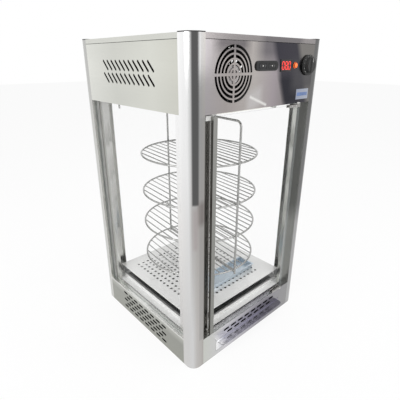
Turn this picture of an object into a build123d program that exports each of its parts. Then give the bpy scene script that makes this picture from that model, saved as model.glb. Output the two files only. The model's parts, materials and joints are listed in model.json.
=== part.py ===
from build123d import *
import math
import os

# Heated display case for pizza: a glazed cabinet on four rounded corner posts, with a turning rack
# of four wire shelves over a heated base. Millimetres, +Z up. The origin is the middle of the case
# on its bottom face. The door, the controls and the crumb tray face -Y.

# Case
width = 450.0
depth = 450.0
height = 810.0
base_height = 85.0
header_height = 151.0
sheet = 1.2
fit = 0.3

# Corner posts
post_sheet = 1.5
post_face = 37.0
post_radius = 25.0
post_step = 14.0
flange_width = 29.0
flange_return = 10.0
header_flange = 15.0
cap_thickness = 2.0

# Top cover
cover_drop = 1.5
cover_band = 10.5
cover_seam = 1.0

# Panels
ledge_depth = 20.0
header_ledge = 34.0
vent_length = 21.0
vent_width = 6.5
vent_pitch = 28.8
vent_row_pitch = 12.5
vent_count = 8
side_vent_rows = 5
front_vent_rows = 2
vent_top_drop = 17.0
louvre_length = 32.0
louvre_width = 5.5
louvre_pitch = 19.1
louvre_count = 11
louvre_row_pitch = 28.8
louvre_top_drop = 61.3
louvre_offset = 3.0
panel_screw_diameter = 4.0
panel_screw_head = 8.0
panel_screw_head_height = 2.0
panel_screw_length = 9.0
panel_screw_inset = 14.0

# Glass
glass = 5.0
seal = 1.5
seal_width = 12.0

# Door
door_left = 24.0
door_right = 39.0
door_gap_top = 5.0
door_gap_bottom = 3.0
trim_wall = 1.2
trim_face = 12.0
clamp_length = 45.0
clamp_height = 7.0
clamp_depth = 11.0
clamp_inset = 4.0
pivot_inset = 9.0
pivot_pin = 6.0
pivot_clearance = 0.06
pivot_bush_wall = 2.0
pivot_bush_flange = 1.0
rest_width = 22.0
rest_height = 10.0
rest_drop = 3.0

# Heater cover
cover_side = 370.0
cover_height = 37.2
window_bottom = 10.0
window_top = 2.5
window_margin = 13.0
hole_diameter = 8.0
hole_pitch = 17.7
hole_columns = 16
hole_rows = 17
hole_offset = -12.25
hub_hole = 40.0
hub_hole_margin = 8.0

# Heating element
element_diameter = 8.0
element_rise = 15.0
element_reach = 130.0
element_run = 70.0
element_bend = 22.0
clip_width = 12.0

# Rack
shelf_radius = 167.5
ring_wire = 5.0
stout_wire = 4.5
thin_wire = 3.0
wire_pitch = 21.0
wires_each_side = 7
shelf_heights = (196.0, 304.0, 402.0, 514.0)
rod_diameter = 6.0
bar_diameter = 5.5
rack_top = 622.0
rack_bend = 15.0
rack_angle = -95.7
socket_diameter = 30.0

# Drive
motor_diameter = 56.0
motor_height = 30.0
motor_plate = 2.0
motor_plate_length = 90.0
motor_plate_width = 62.0
shaft_diameter = 8.0
shaft_clearance = 0.06
shaft_depth = 18.0
bush_wall = 4.0
bush_flange = 2.0
bush_flange_width = 4.0
hub_gap = 2.0
hub_diameter = 36.0
hub_height = 8.0
dog_side = 16.0
dog_height = 14.0

# Water pan
pan_length = 190.0
pan_width = 54.0
pan_height = 15.0
pan_wall = 1.0
pan_rim = 4.0
pan_x = 29.0
pan_y = -97.0

# Crumb tray
tray_width = 280.0
tray_bottom = 15.0
tray_height = 30.0
tray_front_height = 33.0
tray_length = 418.0
tray_gap = 0.7
tray_lip = 22.0
tray_lip_drop = 4.0
tray_lip_inset = 5.0
tray_lip_radius = 14.0
runner_length = 380.0
runner_foot = 12.0
runner_guide = 14.0

# Fan
fan_side = 120.0
fan_depth = 25.0
fan_bore = 112.0
fan_inset = 118.0
fan_x = fan_inset - width / 2
fan_drop = 76.4
fan_blades = 7
fan_blade = 2.0
fan_blade_chord = 20.0
fan_blade_tilt = 38.0
fan_tip_gap = 2.0
fan_hub = 38.0
fan_pin = 4.0
fan_strut = 5.0
fan_stator = 5.0
fan_stator_gap = 1.0
fan_screw = 4.0
fan_screw_spacing = 105.0
fan_nut = 8.0
fan_nut_height = 3.0
grille_rings = 6
grille_pitch = 9.4
grille_slot = 5.8
grille_outer = 56.5
grille_bar = 5.5

# Controls, with places from the middle of the front header panel
control_drop = 61.0
bezel_x = -2.0
bezel_width = 78.0
bezel_height = 21.0
bezel_thickness = 3.0
switch_body_width = 66.0
switch_body_height = 17.0
switch_body_depth = 22.0
rocker_width = 24.0
rocker_height = 11.0
rocker_gap = 0.9
rocker_spacing = 33.0
rocker_front = 4.0
rocker_back = 4.0
rocker_tilt = 8.0
rocker_pivot_behind = 3.0
display_x = 71.0
display_width = 40.0
display_height = 24.0
display_depth = 18.0
display_proud = 1.0
display_rim = 2.0
lamp_x = 109.0
lamp_diameter = 11.0
lamp_collar = 1.5
lamp_proud = 3.0
lamp_depth = 20.0
knob_x = 163.0
knob_skirt = 48.0
knob_skirt_height = 5.0
knob_grip = 34.0
knob_grip_height = 8.0
knob_bar = 9.0
knob_bar_height = 2.5
knob_stem = 6.0
knob_stem_depth = 12.0
thermostat_side = 34.0
thermostat_depth = 30.0
label_x = 151.0
label_width = 54.0
label_height = 25.0
label_rise = 9.0
label_thickness = 0.4

# Chamber lamp, probe and inlet
tube_diameter = 12.0
tube_length = 220.0
tube_drop = 9.0
tube_y = -165.0
holder_width = 10.0
probe_diameter = 5.0
probe_length = 30.0
probe_corner = 44.0
inlet_x = 120.0
inlet_z = 42.0
inlet_bore = 8.0
inlet_thread = 16.0
inlet_head = 22.0
inlet_head_length = 9.0
inlet_nut_length = 5.0

header_bottom = height - header_height
cover_top = height - cover_drop
cover_underside = cover_top - sheet
header_top = cover_top - cover_band - cover_seam
floor_top = base_height - sheet
floor_underside = floor_top - sheet
deck_underside = header_bottom + sheet
deck_top = deck_underside + sheet
front = -depth / 2
control_z = height - control_drop
fan_z = height - fan_drop
heater_top = floor_top + cover_height
door_axis_x = width / 2 - post_face - door_right - pivot_inset
door_axis_y = front + glass / 2

SIDES = {"front": 0.0, "left": -90.0, "back": 180.0, "right": 90.0}


def span_box(x, y, z):
    """A box between two x, two y and two z values."""
    solid = Box(x[1] - x[0], y[1] - y[0], z[1] - z[0])
    return Pos((x[0] + x[1]) / 2, (y[0] + y[1]) / 2, (z[0] + z[1]) / 2) * solid


def upright(x, y, z, diameter):
    """A cylinder along Z between two z values."""
    return Pos(x, y, (z[0] + z[1]) / 2) * Cylinder(diameter / 2, z[1] - z[0])


def lying(x, y, z, diameter):
    """A cylinder along Y between two y values."""
    return Pos(x, (y[0] + y[1]) / 2, z) * Rot(90, 0, 0) * Cylinder(diameter / 2, y[1] - y[0])


def side_span(side):
    """The width of a side and its distance from the middle of the case."""
    if side in ("front", "back"):
        return width, depth / 2
    return depth, width / 2


def side_plane(distance):
    """The face plane of a side while it faces -Y, with its sketch axes along X and Z."""
    return Plane(origin=(0, -distance, 0), x_dir=(1, 0, 0), z_dir=(0, -1, 0))


def turned(shape, side):
    """Turn a shape made facing -Y so that it faces its own side."""
    return Rot(0, 0, SIDES[side]) * shape


def save(node, shape):
    """Write one piece."""
    export_step(shape, f"parts/{node}.step")


# Posts and their caps


def post_skin():
    """The plan of the rounded outer corner and the two steps of a post, from its outer corner."""
    arc = Circle(post_radius) - Circle(post_radius - post_sheet)
    quarter = Pos(-post_radius / 2, -post_radius / 2) * Rectangle(post_radius, post_radius)
    corner = Pos(post_radius, post_radius) * (arc & quarter)
    face = rect_between((post_radius, post_face), (0, post_sheet))
    step = rect_between((post_face - post_sheet, post_face), (0, post_step + post_sheet))
    leg = face + step
    return corner + leg + mirror(leg, about=Plane((0, 0, 0), z_dir=(1, -1, 0)))


def rect_between(x, y):
    """A flat rectangle between two x and two y values."""
    return Pos((x[0] + x[1]) / 2, (y[0] + y[1]) / 2) * Rectangle(x[1] - x[0], y[1] - y[0])


def post_flanges(reach, lip_depth):
    """The plan of the two recessed flanges of a post, with inner returns of a given depth."""
    end = post_face + reach
    flange = rect_between((post_face - post_sheet, end), (post_step, post_step + post_sheet))
    lip = rect_between((end - post_sheet, end), (post_step, post_step + lip_depth))
    leg = flange + lip
    return leg + mirror(leg, about=Plane((0, 0, 0), z_dir=(1, -1, 0)))


CORNERS = {
    "front_left": (-1, -1, 0.0),
    "front_right": (1, -1, 90.0),
    "back_right": (1, 1, 180.0),
    "back_left": (-1, 1, 270.0),
}


def at_corner(shape, corner):
    """Place a shape made at the front left corner of the case at another corner."""
    x, y, angle = CORNERS[corner]
    return Pos(x * width / 2, y * depth / 2, 0) * Rot(0, 0, angle) * shape


def post():
    """A folded corner post over the whole height of the case, with narrow flanges in the header."""
    skin = extrude(post_skin(), amount=height - cap_thickness)
    wide = extrude(post_flanges(flange_width, flange_return), amount=deck_top)
    narrow = extrude(post_flanges(header_flange, post_sheet), amount=cover_underside)
    return skin + [wide, narrow]


def post_cap():
    """The plate that closes the top of a post."""
    square = rect_between((0, post_face), (0, post_face))
    cut = rect_between((0, post_radius), (0, post_radius))
    round_corner = Pos(post_radius, post_radius) * Circle(post_radius)
    plan = (square - cut) + (cut & round_corner)
    return Pos(0, 0, height - cap_thickness) * extrude(plan, amount=cap_thickness)


# Sheets that span the case


def deck_plan():
    """The plan of a sheet inside the panels, notched round the four posts."""
    plan = Rectangle(width - 2 * sheet, depth - 2 * sheet)
    long_cut = post_face + flange_width
    short_cut = post_step + flange_return
    for x in (-1, 1):
        for y in (-1, 1):
            corner = Pos(x * width / 2, y * depth / 2)
            plan -= corner * Rectangle(2 * long_cut, 2 * short_cut)
            plan -= corner * Rectangle(2 * short_cut, 2 * long_cut)
    return plan


def pivot_notch():
    """The room for a door pin at the edge of a sheet."""
    return Pos(door_axis_x, door_axis_y) * Circle(pivot_pin / 2 + fit)


def bottom_plate():
    """The flat plate that the case stands on."""
    return extrude(deck_plan(), amount=sheet)


def chamber_floor():
    """The polished floor under the ledges of the base panels, with the hole for the drive bush."""
    plan = deck_plan() - Circle(shaft_diameter / 2 + shaft_clearance + bush_wall) - pivot_notch()
    return Pos(0, 0, floor_underside) * extrude(plan, amount=sheet)


def header_deck():
    """The ceiling of the chamber, which lies on the ledges of the header panels."""
    return Pos(0, 0, deck_underside) * extrude(deck_plan() - pivot_notch(), amount=sheet)


def top_cover():
    """The lid with its folded band between the posts."""
    plan = Rectangle(width, depth)
    for x in (-1, 1):
        for y in (-1, 1):
            plan -= Pos(x * width / 2, y * depth / 2) * Rectangle(2 * post_face, 2 * post_face)
    lid = Pos(0, 0, cover_underside) * extrude(plan, amount=sheet)
    for side in SIDES:
        span, distance = side_span(side)
        half = span / 2 - post_face
        band = span_box((-half, half), (-distance, -distance + sheet), (cover_top - cover_band, cover_top))
        lid += turned(band, side)
    return lid


# Panels


def ledge(side, z, reach):
    """An inward fold of a panel, narrowed past the post flanges."""
    span, distance = side_span(side)
    half = span / 2 - post_face
    inner = half - flange_width
    near = span_box((-half, half), (-distance, -distance + post_step), (z, z + sheet))
    far = span_box((-inner, inner), (-distance, -distance + reach), (z, z + sheet))
    return near + far


def panel(side, bottom, top, holes, ledge_z, reach):
    """A panel between two posts, with its end folds, its ledge and its holes."""
    span, distance = side_span(side)
    half = span / 2 - post_face
    face = Pos(0, (bottom + top) / 2) * Rectangle(2 * half, top - bottom) - holes
    solid = extrude(side_plane(distance) * face, amount=-sheet)
    for sign in (-1, 1):
        edge = sorted((sign * half, sign * (half - sheet)))
        solid += span_box(edge, (-distance, -distance + post_step), (bottom, top))
    return solid + ledge(side, ledge_z, reach)


def slot_row(count, pitch, length, slot_width, x, z, angle=0.0):
    """A row of round-ended slots in the plane of a panel."""
    start = x - (count - 1) * pitch / 2
    slot = SlotOverall(length, slot_width, rotation=angle)
    return [Pos(start + index * pitch, z) * slot for index in range(count)]


def base_vents(rows):
    """Staggered rows of vent slots for a base panel."""
    vents = []
    for row in range(rows):
        z = base_height - vent_top_drop - row * vent_row_pitch
        vents += slot_row(vent_count - row % 2, vent_pitch, vent_length, vent_width, 0, z)
    return vents


def header_louvres():
    """Two rows of slanted slots for a side of the header."""
    slots = []
    for row in range(2):
        z = height - louvre_top_drop - row * louvre_row_pitch
        slots += slot_row(louvre_count, louvre_pitch, louvre_length, louvre_width, louvre_offset, z, -45.0)
    return slots


def fan_grille():
    """Concentric slotted rings in front of the fan, crossed by two bars."""
    bars = [Rectangle(2 * grille_outer, grille_bar), Rectangle(grille_bar, 2 * grille_outer)]
    rings = []
    for ring in range(grille_rings):
        outer = grille_outer - ring * grille_pitch
        rings.append(Pos(fan_x, fan_z) * (Circle(outer) - Circle(outer - grille_slot) - bars))
    return rings


def screw_places(side, bottom, top):
    """Where the screws of a panel sit on its face."""
    span, _ = side_span(side)
    x = span / 2 - post_face - panel_screw_inset
    return [(sx * x, z) for sx in (-1, 1) for z in (bottom + panel_screw_inset, top - panel_screw_inset)]


def screw_holes(side, bottom, top):
    """The holes of the screws of a panel."""
    hole = Circle(panel_screw_diameter / 2)
    return [Pos(x, z) * hole for x, z in screw_places(side, bottom, top)]


def tray_opening():
    """The opening of the crumb tray in the front of the base."""
    low = tray_bottom - tray_gap
    high = tray_bottom + tray_front_height + tray_gap
    return Pos(0, (low + high) / 2) * Rectangle(tray_width + 2 * tray_gap, high - low)


def control_openings():
    """The openings for the switches, the display, the pilot lamp and the knob stem."""
    return [
        Pos(bezel_x, control_z) * Rectangle(switch_body_width, switch_body_height),
        Pos(display_x, control_z) * Rectangle(display_width, display_height),
        Pos(lamp_x, control_z) * Circle(lamp_diameter / 2),
        Pos(knob_x, control_z) * Circle(knob_stem / 2 + fit),
    ]


def drilled_ledge(solid, z):
    """Open the hole of a door pivot bush in a ledge."""
    bore = pivot_pin / 2 + pivot_clearance + pivot_bush_wall
    return solid - upright(door_axis_x, door_axis_y, (z - sheet, z + 2 * sheet), 2 * bore)


def base_panel(side):
    """A base panel with the vents and openings of its side."""
    holes = {
        "front": base_vents(front_vent_rows) + [tray_opening()],
        "left": base_vents(side_vent_rows),
        "right": base_vents(side_vent_rows),
        "back": screw_holes("back", 0, base_height) + [Pos(-inlet_x, inlet_z) * Circle(inlet_thread / 2)],
    }[side]
    solid = panel(side, 0, base_height, holes, floor_top, ledge_depth)
    if side == "front":
        solid = drilled_ledge(solid, floor_top)
    return turned(solid, side)


def header_panel(side):
    """A header panel with the openings of its side."""
    holes = {
        "front": fan_grille() + control_openings(),
        "left": header_louvres(),
        "right": header_louvres(),
        "back": screw_holes("back", header_bottom, header_top),
    }[side]
    solid = panel(side, header_bottom, header_top, holes, header_bottom, header_ledge)
    if side == "front":
        solid = drilled_ledge(solid, header_bottom)
    return turned(solid, side)


def back_screws():
    """The screws of the two back panels."""
    _, distance = side_span("back")
    screws = []
    places = screw_places("back", 0, base_height) + screw_places("back", header_bottom, header_top)
    for x, z in places:
        shank = lying(x, (-distance, -distance + panel_screw_length), z, panel_screw_diameter)
        head = lying(x, (-distance - panel_screw_head_height, -distance), z, panel_screw_head)
        screws.append(turned(head + shank, "back"))
    return Compound(children=screws)


# Fixed glass


def pane(side):
    """A fixed pane in front of the post flanges, between base and header."""
    span, distance = side_span(side)
    half = span / 2 - post_face - fit
    back = -distance + post_step - seal
    solid = span_box((-half, half), (back - glass, back), (base_height + fit, header_bottom - fit))
    return turned(solid, side)


def pane_seals(side):
    """The two sealing strips between a pane and the flanges, as a list."""
    span, distance = side_span(side)
    outer = span / 2 - post_face - fit
    back = -distance + post_step
    strips = []
    for sign in (-1, 1):
        edge = sorted((sign * outer, sign * (outer - seal_width)))
        strip = span_box(edge, (back - seal, back), (base_height + fit, header_bottom - fit))
        strips.append(turned(strip, side))
    return strips


# Door


door_x = (-width / 2 + post_face + door_left, width / 2 - post_face - door_right)
door_z = (base_height + door_gap_bottom, header_bottom - door_gap_top)
door_y = (front, front + glass)


def door_glass():
    """The frameless door pane, flush with the front."""
    return span_box(door_x, door_y, door_z)


def door_trim():
    """The channel on the free edge of the door, by which it is pulled."""
    x = (door_x[0] - trim_wall, door_x[0] - trim_wall + trim_face)
    y = (door_y[0] - trim_wall, door_y[1] + trim_wall)
    return span_box(x, y, door_z) - door_glass()


def door_clamp(end):
    """A pivot clamp on the glass with its pin, at the top or the bottom of the door."""
    sign = 1 if end == "top" else -1
    edge = door_z[1] if end == "top" else door_z[0]
    outer = edge + sign * clamp_inset / 2
    inner = outer - sign * clamp_height
    x = (door_x[1] - clamp_inset - clamp_length, door_x[1] - clamp_inset)
    y = (door_axis_y - clamp_depth / 2, door_axis_y + clamp_depth / 2)
    block = span_box(x, y, sorted((outer, inner))) - door_glass()
    ledge_far = deck_top if end == "top" else floor_underside
    pin = upright(door_axis_x, door_axis_y, sorted((outer, ledge_far)), pivot_pin)
    return block + pin


def pivot_bush(end):
    """The plastic bush that a door pin turns in."""
    if end == "top":
        near, far, face = header_bottom - pivot_bush_flange, header_bottom + sheet, header_bottom
    else:
        near, far, face = base_height + pivot_bush_flange, floor_top, base_height
    bore = pivot_pin / 2 + pivot_clearance
    body = upright(door_axis_x, door_axis_y, sorted((near, far)), 2 * (bore + pivot_bush_wall))
    flange = upright(door_axis_x, door_axis_y, sorted((near, face)), 2 * (bore + 2 * pivot_bush_wall))
    hole = upright(door_axis_x, door_axis_y, sorted((near, far)), 2 * bore)
    return (body + flange) - hole


def door_rest():
    """The pad on the flange that the closed door comes to rest on."""
    left = door_x[0] - rest_width + trim_face / 2
    back = front + post_step
    top = header_bottom - rest_drop
    return span_box((left, left + rest_width), (door_y[1] + trim_wall + fit, back), (top - rest_height, top))


# Heater


def cover_holes():
    """The grid of holes in the heater cover, left out round the drive hub."""
    hole = Circle(hole_diameter / 2)
    holes = []
    clear = (hub_hole + hole_diameter) / 2 + hub_hole_margin
    for column in range(hole_columns):
        for row in range(hole_rows):
            x = hole_offset + (column - (hole_columns - 1) / 2) * hole_pitch
            y = (row - (hole_rows - 1) / 2) * hole_pitch
            if math.hypot(x, y) > clear:
                holes.append(Pos(x, y) * hole)
    return holes


def heater_cover():
    """The folded cover over the heater, perforated on top and open along its sides."""
    inner = cover_side - 2 * sheet
    reach = cover_side - 2 * window_margin
    z = (floor_top + window_bottom, heater_top - window_top)
    middle = (z[0] + z[1]) / 2
    skirt_height = cover_height - sheet
    skirt = Pos(0, 0, floor_top) * extrude(Rectangle(cover_side, cover_side) - Rectangle(inner, inner), skirt_height)
    skirt -= Pos(0, 0, middle) * Box(reach, 2 * cover_side, z[1] - z[0])
    skirt -= Pos(0, 0, middle) * Box(2 * cover_side, reach, z[1] - z[0])
    plan = Rectangle(cover_side, cover_side) - Circle(hub_hole / 2) - cover_holes()
    return skirt + Pos(0, 0, heater_top - sheet) * extrude(plan, amount=sheet)


def heating_element():
    """The tubular element, bent to a wide U round the drive."""
    z = floor_top + element_rise
    points = [
        (-element_run, element_reach, z),
        (-element_run, -element_reach, z),
        (element_run, -element_reach, z),
        (element_run, element_reach, z),
    ]
    path = FilletPolyline(*points, radius=element_bend)
    section = Plane(origin=points[0], z_dir=(0, -1, 0)) * Circle(element_diameter / 2)
    return sweep(section, path=path)


def element_clips():
    """The four saddles that hold the element above the floor."""
    z = floor_top + element_rise
    clips = []
    for x in (-element_run, element_run):
        for y in (-element_reach / 2, element_reach / 2):
            half = element_diameter / 2 + sheet
            foot = span_box((x - half, x + half), (y - clip_width / 2, y + clip_width / 2), (floor_top, z))
            clip = foot - lying(x, (y - clip_width, y + clip_width), z, element_diameter)
            clips.append(clip)
    return Compound(children=clips)


# Drive


motor_plate_z = (floor_underside - motor_plate, floor_underside)
motor_z = (motor_plate_z[0] - motor_height, motor_plate_z[0])
shaft_z = (motor_z[1] - shaft_depth, heater_top + hub_gap + hub_height)
hub_z = (heater_top + hub_gap, heater_top + hub_gap + hub_height)


def drive_motor():
    """The gear motor under the floor with its mounting plate and the bore of its output shaft."""
    x = (-motor_plate_length / 2, motor_plate_length / 2)
    y = (-motor_plate_width / 2, motor_plate_width / 2)
    body = upright(0, 0, motor_z, motor_diameter) + span_box(x, y, motor_plate_z)
    return body - upright(0, 0, (shaft_z[0] - fit, floor_underside), shaft_diameter + 2 * shaft_clearance)


def drive_bush():
    """The flanged bush of the drive shaft in the floor."""
    bore = shaft_diameter / 2 + shaft_clearance
    body = upright(0, 0, (floor_underside, floor_top), 2 * (bore + bush_wall))
    flange = upright(0, 0, (floor_top, floor_top + bush_flange), 2 * (bore + bush_wall + bush_flange_width))
    return (body + flange) - upright(0, 0, (floor_underside, floor_top + bush_flange), 2 * bore)


def drive_shaft():
    """The shaft from the motor to the hub."""
    return upright(0, 0, shaft_z, shaft_diameter)


def drive_hub():
    """The hub on the shaft, with the square dog that turns the rack."""
    disc = upright(0, 0, hub_z, hub_diameter) - upright(0, 0, hub_z, shaft_diameter)
    dog = span_box((-dog_side / 2, dog_side / 2), (-dog_side / 2, dog_side / 2), (hub_z[1], hub_z[1] + dog_height))
    return disc + dog


# Rack


rod_radius = shelf_radius + (ring_wire + rod_diameter) / 2
cross_bar_z = shelf_heights[0] - (ring_wire + bar_diameter) / 2


def turned_rack(shape):
    """Turn a shape whose wires run along X to the resting angle of the rack."""
    return Rot(0, 0, rack_angle) * shape


def rack_frame():
    """The inverted U of rod with its bottom cross bar."""
    low = cross_bar_z - rod_diameter
    points = [(-rod_radius, 0, low), (-rod_radius, 0, rack_top), (rod_radius, 0, rack_top), (rod_radius, 0, low)]
    path = FilletPolyline(*points, radius=rack_bend)
    section = Plane(origin=points[0], z_dir=(0, 0, 1)) * Circle(rod_diameter / 2)
    bow = sweep(section, path=path)
    bar = Pos(0, 0, cross_bar_z) * Rot(0, 90, 0) * Cylinder(bar_diameter / 2, 2 * rod_radius)
    return turned_rack(bow + bar)


def rack_shelf():
    """A round wire shelf: a ring, a stout wire across it and thin wires beside that."""
    wires = []
    for index in range(-wires_each_side, wires_each_side + 1):
        offset = index * wire_pitch
        length = 2 * math.sqrt(shelf_radius**2 - offset**2)
        wire = thin_wire if index else stout_wire
        wires.append(Pos(0, offset, 0) * Rot(0, 90, 0) * Cylinder(wire / 2, length))
    return turned_rack(Torus(shelf_radius, ring_wire / 2) + wires)


def rack_socket():
    """The tube under the rack that drops over the dog of the hub."""
    bottom = hub_z[1] + fit
    tube = upright(0, 0, (bottom, cross_bar_z - bar_diameter / 2), socket_diameter)
    side = dog_side / 2 + fit
    return tube - span_box((-side, side), (-side, side), (bottom, hub_z[1] + dog_height + hub_gap))


# Water pan and crumb tray


def water_pan():
    """The open pan that stands on the heater cover."""
    x = (pan_x - pan_length / 2, pan_x + pan_length / 2)
    y = (pan_y - pan_width / 2, pan_y + pan_width / 2)
    z = (heater_top + fit, heater_top + fit + pan_height)
    body = span_box(x, y, z)
    rim = span_box((x[0] - pan_rim, x[1] + pan_rim), (y[0] - pan_rim, y[1] + pan_rim), (z[1] - pan_wall, z[1]))
    inside_x = (x[0] + pan_wall, x[1] - pan_wall)
    inside_y = (y[0] + pan_wall, y[1] - pan_wall)
    return (body + rim) - span_box(inside_x, inside_y, (z[0] + pan_wall, z[1]))


def crumb_tray():
    """The tray that slides out under the floor, with the lip that it is pulled by."""
    half = tray_width / 2
    body_half = half - sheet
    z = (tray_bottom, tray_bottom + tray_height)
    y = (front, front + tray_length)
    tray = span_box((-body_half, body_half), y, z)
    tray -= span_box((-body_half + sheet, body_half - sheet), (y[0] + sheet, y[1] - sheet), (z[0] + sheet, z[1]))
    tray += span_box((-half, half), (front, front + sheet), (z[0], z[0] + tray_front_height))
    lip_half = half - tray_lip_inset
    lip_z = z[0] + tray_front_height - tray_lip_drop
    corner = tray_lip_radius
    plan = rect_between((-lip_half + corner, lip_half - corner), (front - tray_lip, front))
    plan += rect_between((-lip_half, lip_half), (front - tray_lip + corner, front))
    for sign in (-1, 1):
        plan += Pos(sign * (lip_half - corner), front - tray_lip + corner) * Circle(corner)
    return tray + Pos(0, 0, lip_z - sheet) * extrude(plan, amount=sheet)


def tray_runner(side):
    """The folded rail beside and under the tray."""
    sign = -1 if side == "left" else 1
    guide = tray_width / 2 + tray_gap
    y = (front + ledge_depth, front + ledge_depth + runner_length)
    web_x = sorted((sign * guide, sign * (guide + sheet)))
    web = span_box(web_x, y, (sheet, tray_bottom + runner_guide))
    shelf_x = sorted((sign * (guide - runner_foot), sign * guide))
    shelf = span_box(shelf_x, y, (tray_bottom - fit - sheet, tray_bottom - fit))
    return web + shelf


# Fan


def fan_frame():
    """The square frame of the fan with its stator on four struts."""
    inside = front + sheet
    y = (inside, inside + fan_depth)
    half = fan_side / 2
    frame = span_box((fan_x - half, fan_x + half), y, (fan_z - half, fan_z + half))
    frame -= lying(fan_x, y, fan_z, fan_bore)
    back = (y[1] - fan_stator, y[1])
    frame += lying(fan_x, back, fan_z, fan_hub)
    reach = (fan_bore + fan_side) / 4
    frame += span_box((fan_x - reach, fan_x + reach), back, (fan_z - fan_strut / 2, fan_z + fan_strut / 2))
    frame += span_box((fan_x - fan_strut / 2, fan_x + fan_strut / 2), back, (fan_z - reach, fan_z + reach))
    frame -= lying(fan_x, back, fan_z, fan_pin + 2 * shaft_clearance)
    for x, z in fan_screw_places():
        frame -= lying(x, y, z, fan_screw)
    return frame


def fan_screw_places():
    """The corners where the fan is fastened."""
    half = fan_screw_spacing / 2
    return [(fan_x + sx * half, fan_z + sz * half) for sx in (-1, 1) for sz in (-1, 1)]


def fan_studs():
    """The studs and nuts that hold the fan to the panel."""
    inside = front + sheet
    studs = []
    for x, z in fan_screw_places():
        stud = lying(x, (inside, inside + fan_depth + fan_nut_height), z, fan_screw)
        nut = lying(x, (inside + fan_depth, inside + fan_depth + fan_nut_height), z, fan_nut)
        studs.append(stud + nut)
    return Compound(children=studs)


def fan_rotor():
    """The hub of the fan with its blades and pin."""
    y = (front + sheet + fan_tip_gap, front + sheet + fan_depth - fan_stator - fan_stator_gap)
    middle = (y[0] + y[1]) / 2
    rotor = lying(fan_x, y, fan_z, fan_hub)
    rotor += lying(fan_x, (middle, front + sheet + fan_depth - fan_stator / 2), fan_z, fan_pin)
    tip = fan_bore / 2 - fan_tip_gap
    root = fan_hub / 2 - fan_blade
    height_blade = tip - root
    for index in range(fan_blades):
        blade = Box(fan_blade_chord, fan_blade, height_blade)
        blade = Pos(0, 0, root + height_blade / 2) * Rot(0, 0, fan_blade_tilt) * blade
        rotor += Pos(fan_x, middle, fan_z) * Rot(0, index * 360 / fan_blades, 0) * blade
    return rotor


# Controls


rocker_places = (bezel_x - rocker_spacing / 2, bezel_x + rocker_spacing / 2)
rocker_axis_y = front - bezel_thickness + rocker_pivot_behind + rocker_front


def switch_bezel():
    """The round-ended plate with the housing of two rocker switches behind it."""
    plate = SlotOverall(bezel_width, bezel_height)
    plane = side_plane(depth / 2)
    solid = extrude(plane * Pos(bezel_x, control_z) * plate, amount=bezel_thickness)
    body_x = (bezel_x - switch_body_width / 2, bezel_x + switch_body_width / 2)
    body_z = (control_z - switch_body_height / 2, control_z + switch_body_height / 2)
    solid += span_box(body_x, (front, front + switch_body_depth), body_z)
    half_x = rocker_width / 2 + rocker_gap
    half_z = rocker_height / 2 + fit
    deep = rocker_axis_y + rocker_back + 2 * rocker_gap
    for x in rocker_places:
        pocket_y = (front - bezel_thickness, deep)
        solid -= span_box((x - half_x, x + half_x), pocket_y, (control_z - half_z, control_z + half_z))
    return solid


def rocker(x):
    """One rocker key, which tilts about an upright axis."""
    half_x = rocker_width / 2
    half_z = rocker_height / 2
    y = (rocker_axis_y - rocker_front - rocker_pivot_behind, rocker_axis_y + rocker_back)
    key = span_box((x - half_x, x + half_x), y, (control_z - half_z, control_z + half_z))
    for sign in (-1, 1):
        wedge = Box(rocker_width, rocker_pivot_behind, 2 * rocker_height)
        wedge = Pos(sign * half_x, -rocker_pivot_behind / 2, 0) * Rot(0, 0, sign * rocker_tilt) * wedge
        key -= Pos(x, y[0], control_z) * wedge
    return key


def display_window():
    """The clear window of the temperature display."""
    y = (front - display_proud, front + sheet)
    half_x = display_width / 2
    half_z = display_height / 2
    return span_box((display_x - half_x, display_x + half_x), y, (control_z - half_z, control_z + half_z))


def display_module():
    """The body of the display behind the panel."""
    half_x = display_width / 2 + display_rim
    half_z = display_height / 2 + display_rim
    y = (front + sheet, front + sheet + display_depth)
    return span_box((display_x - half_x, display_x + half_x), y, (control_z - half_z, control_z + half_z))


def pilot_lamp():
    """The round indicator lamp."""
    collar = lying(lamp_x, (front - lamp_proud / 2, front), control_z, lamp_diameter + 2 * lamp_collar)
    lens = lying(lamp_x, (front - lamp_proud, front + lamp_depth), control_z, lamp_diameter)
    return collar + lens


def thermostat_body():
    """The body of the thermostat with the bore of its spindle."""
    half = thermostat_side / 2
    y = (front + sheet, front + sheet + thermostat_depth)
    body_x = (knob_x - half, width / 2 - post_face - header_flange - fit)
    body = span_box(body_x, y, (control_z - half, control_z + half))
    bore_y = (y[0], y[0] + knob_stem_depth + fit)
    return body - lying(knob_x, bore_y, control_z, knob_stem + 2 * shaft_clearance)


def thermostat_knob():
    """The round knob with its skirt, grip and pointer bar."""
    base = front - fit
    skirt = lying(knob_x, (base - knob_skirt_height, base), control_z, knob_skirt)
    grip_y = (base - knob_skirt_height - knob_grip_height, base - knob_skirt_height)
    grip = lying(knob_x, grip_y, control_z, knob_grip)
    bar_y = (grip_y[0] - knob_bar_height, grip_y[0])
    half = knob_bar / 2
    reach = knob_grip / 2
    bar = span_box((knob_x - half, knob_x + half), bar_y, (control_z - reach, control_z + reach))
    bar &= lying(knob_x, bar_y, control_z, knob_grip)
    stem = lying(knob_x, (base, front + sheet + knob_stem_depth), control_z, knob_stem)
    return skirt + grip + bar + stem


def label_plate():
    """A blank plate low on the header."""
    x = (label_x - label_width / 2, label_x + label_width / 2)
    z = (header_bottom + label_rise, header_bottom + label_rise + label_height)
    return span_box(x, (front - label_thickness, front), z)


# Chamber lamp, probe and inlet


tube_z = deck_underside - tube_drop


def chamber_lamp():
    """The lamp tube under the ceiling of the chamber."""
    return Pos(0, tube_y, tube_z) * Rot(0, 90, 0) * Cylinder(tube_diameter / 2, tube_length)


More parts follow.
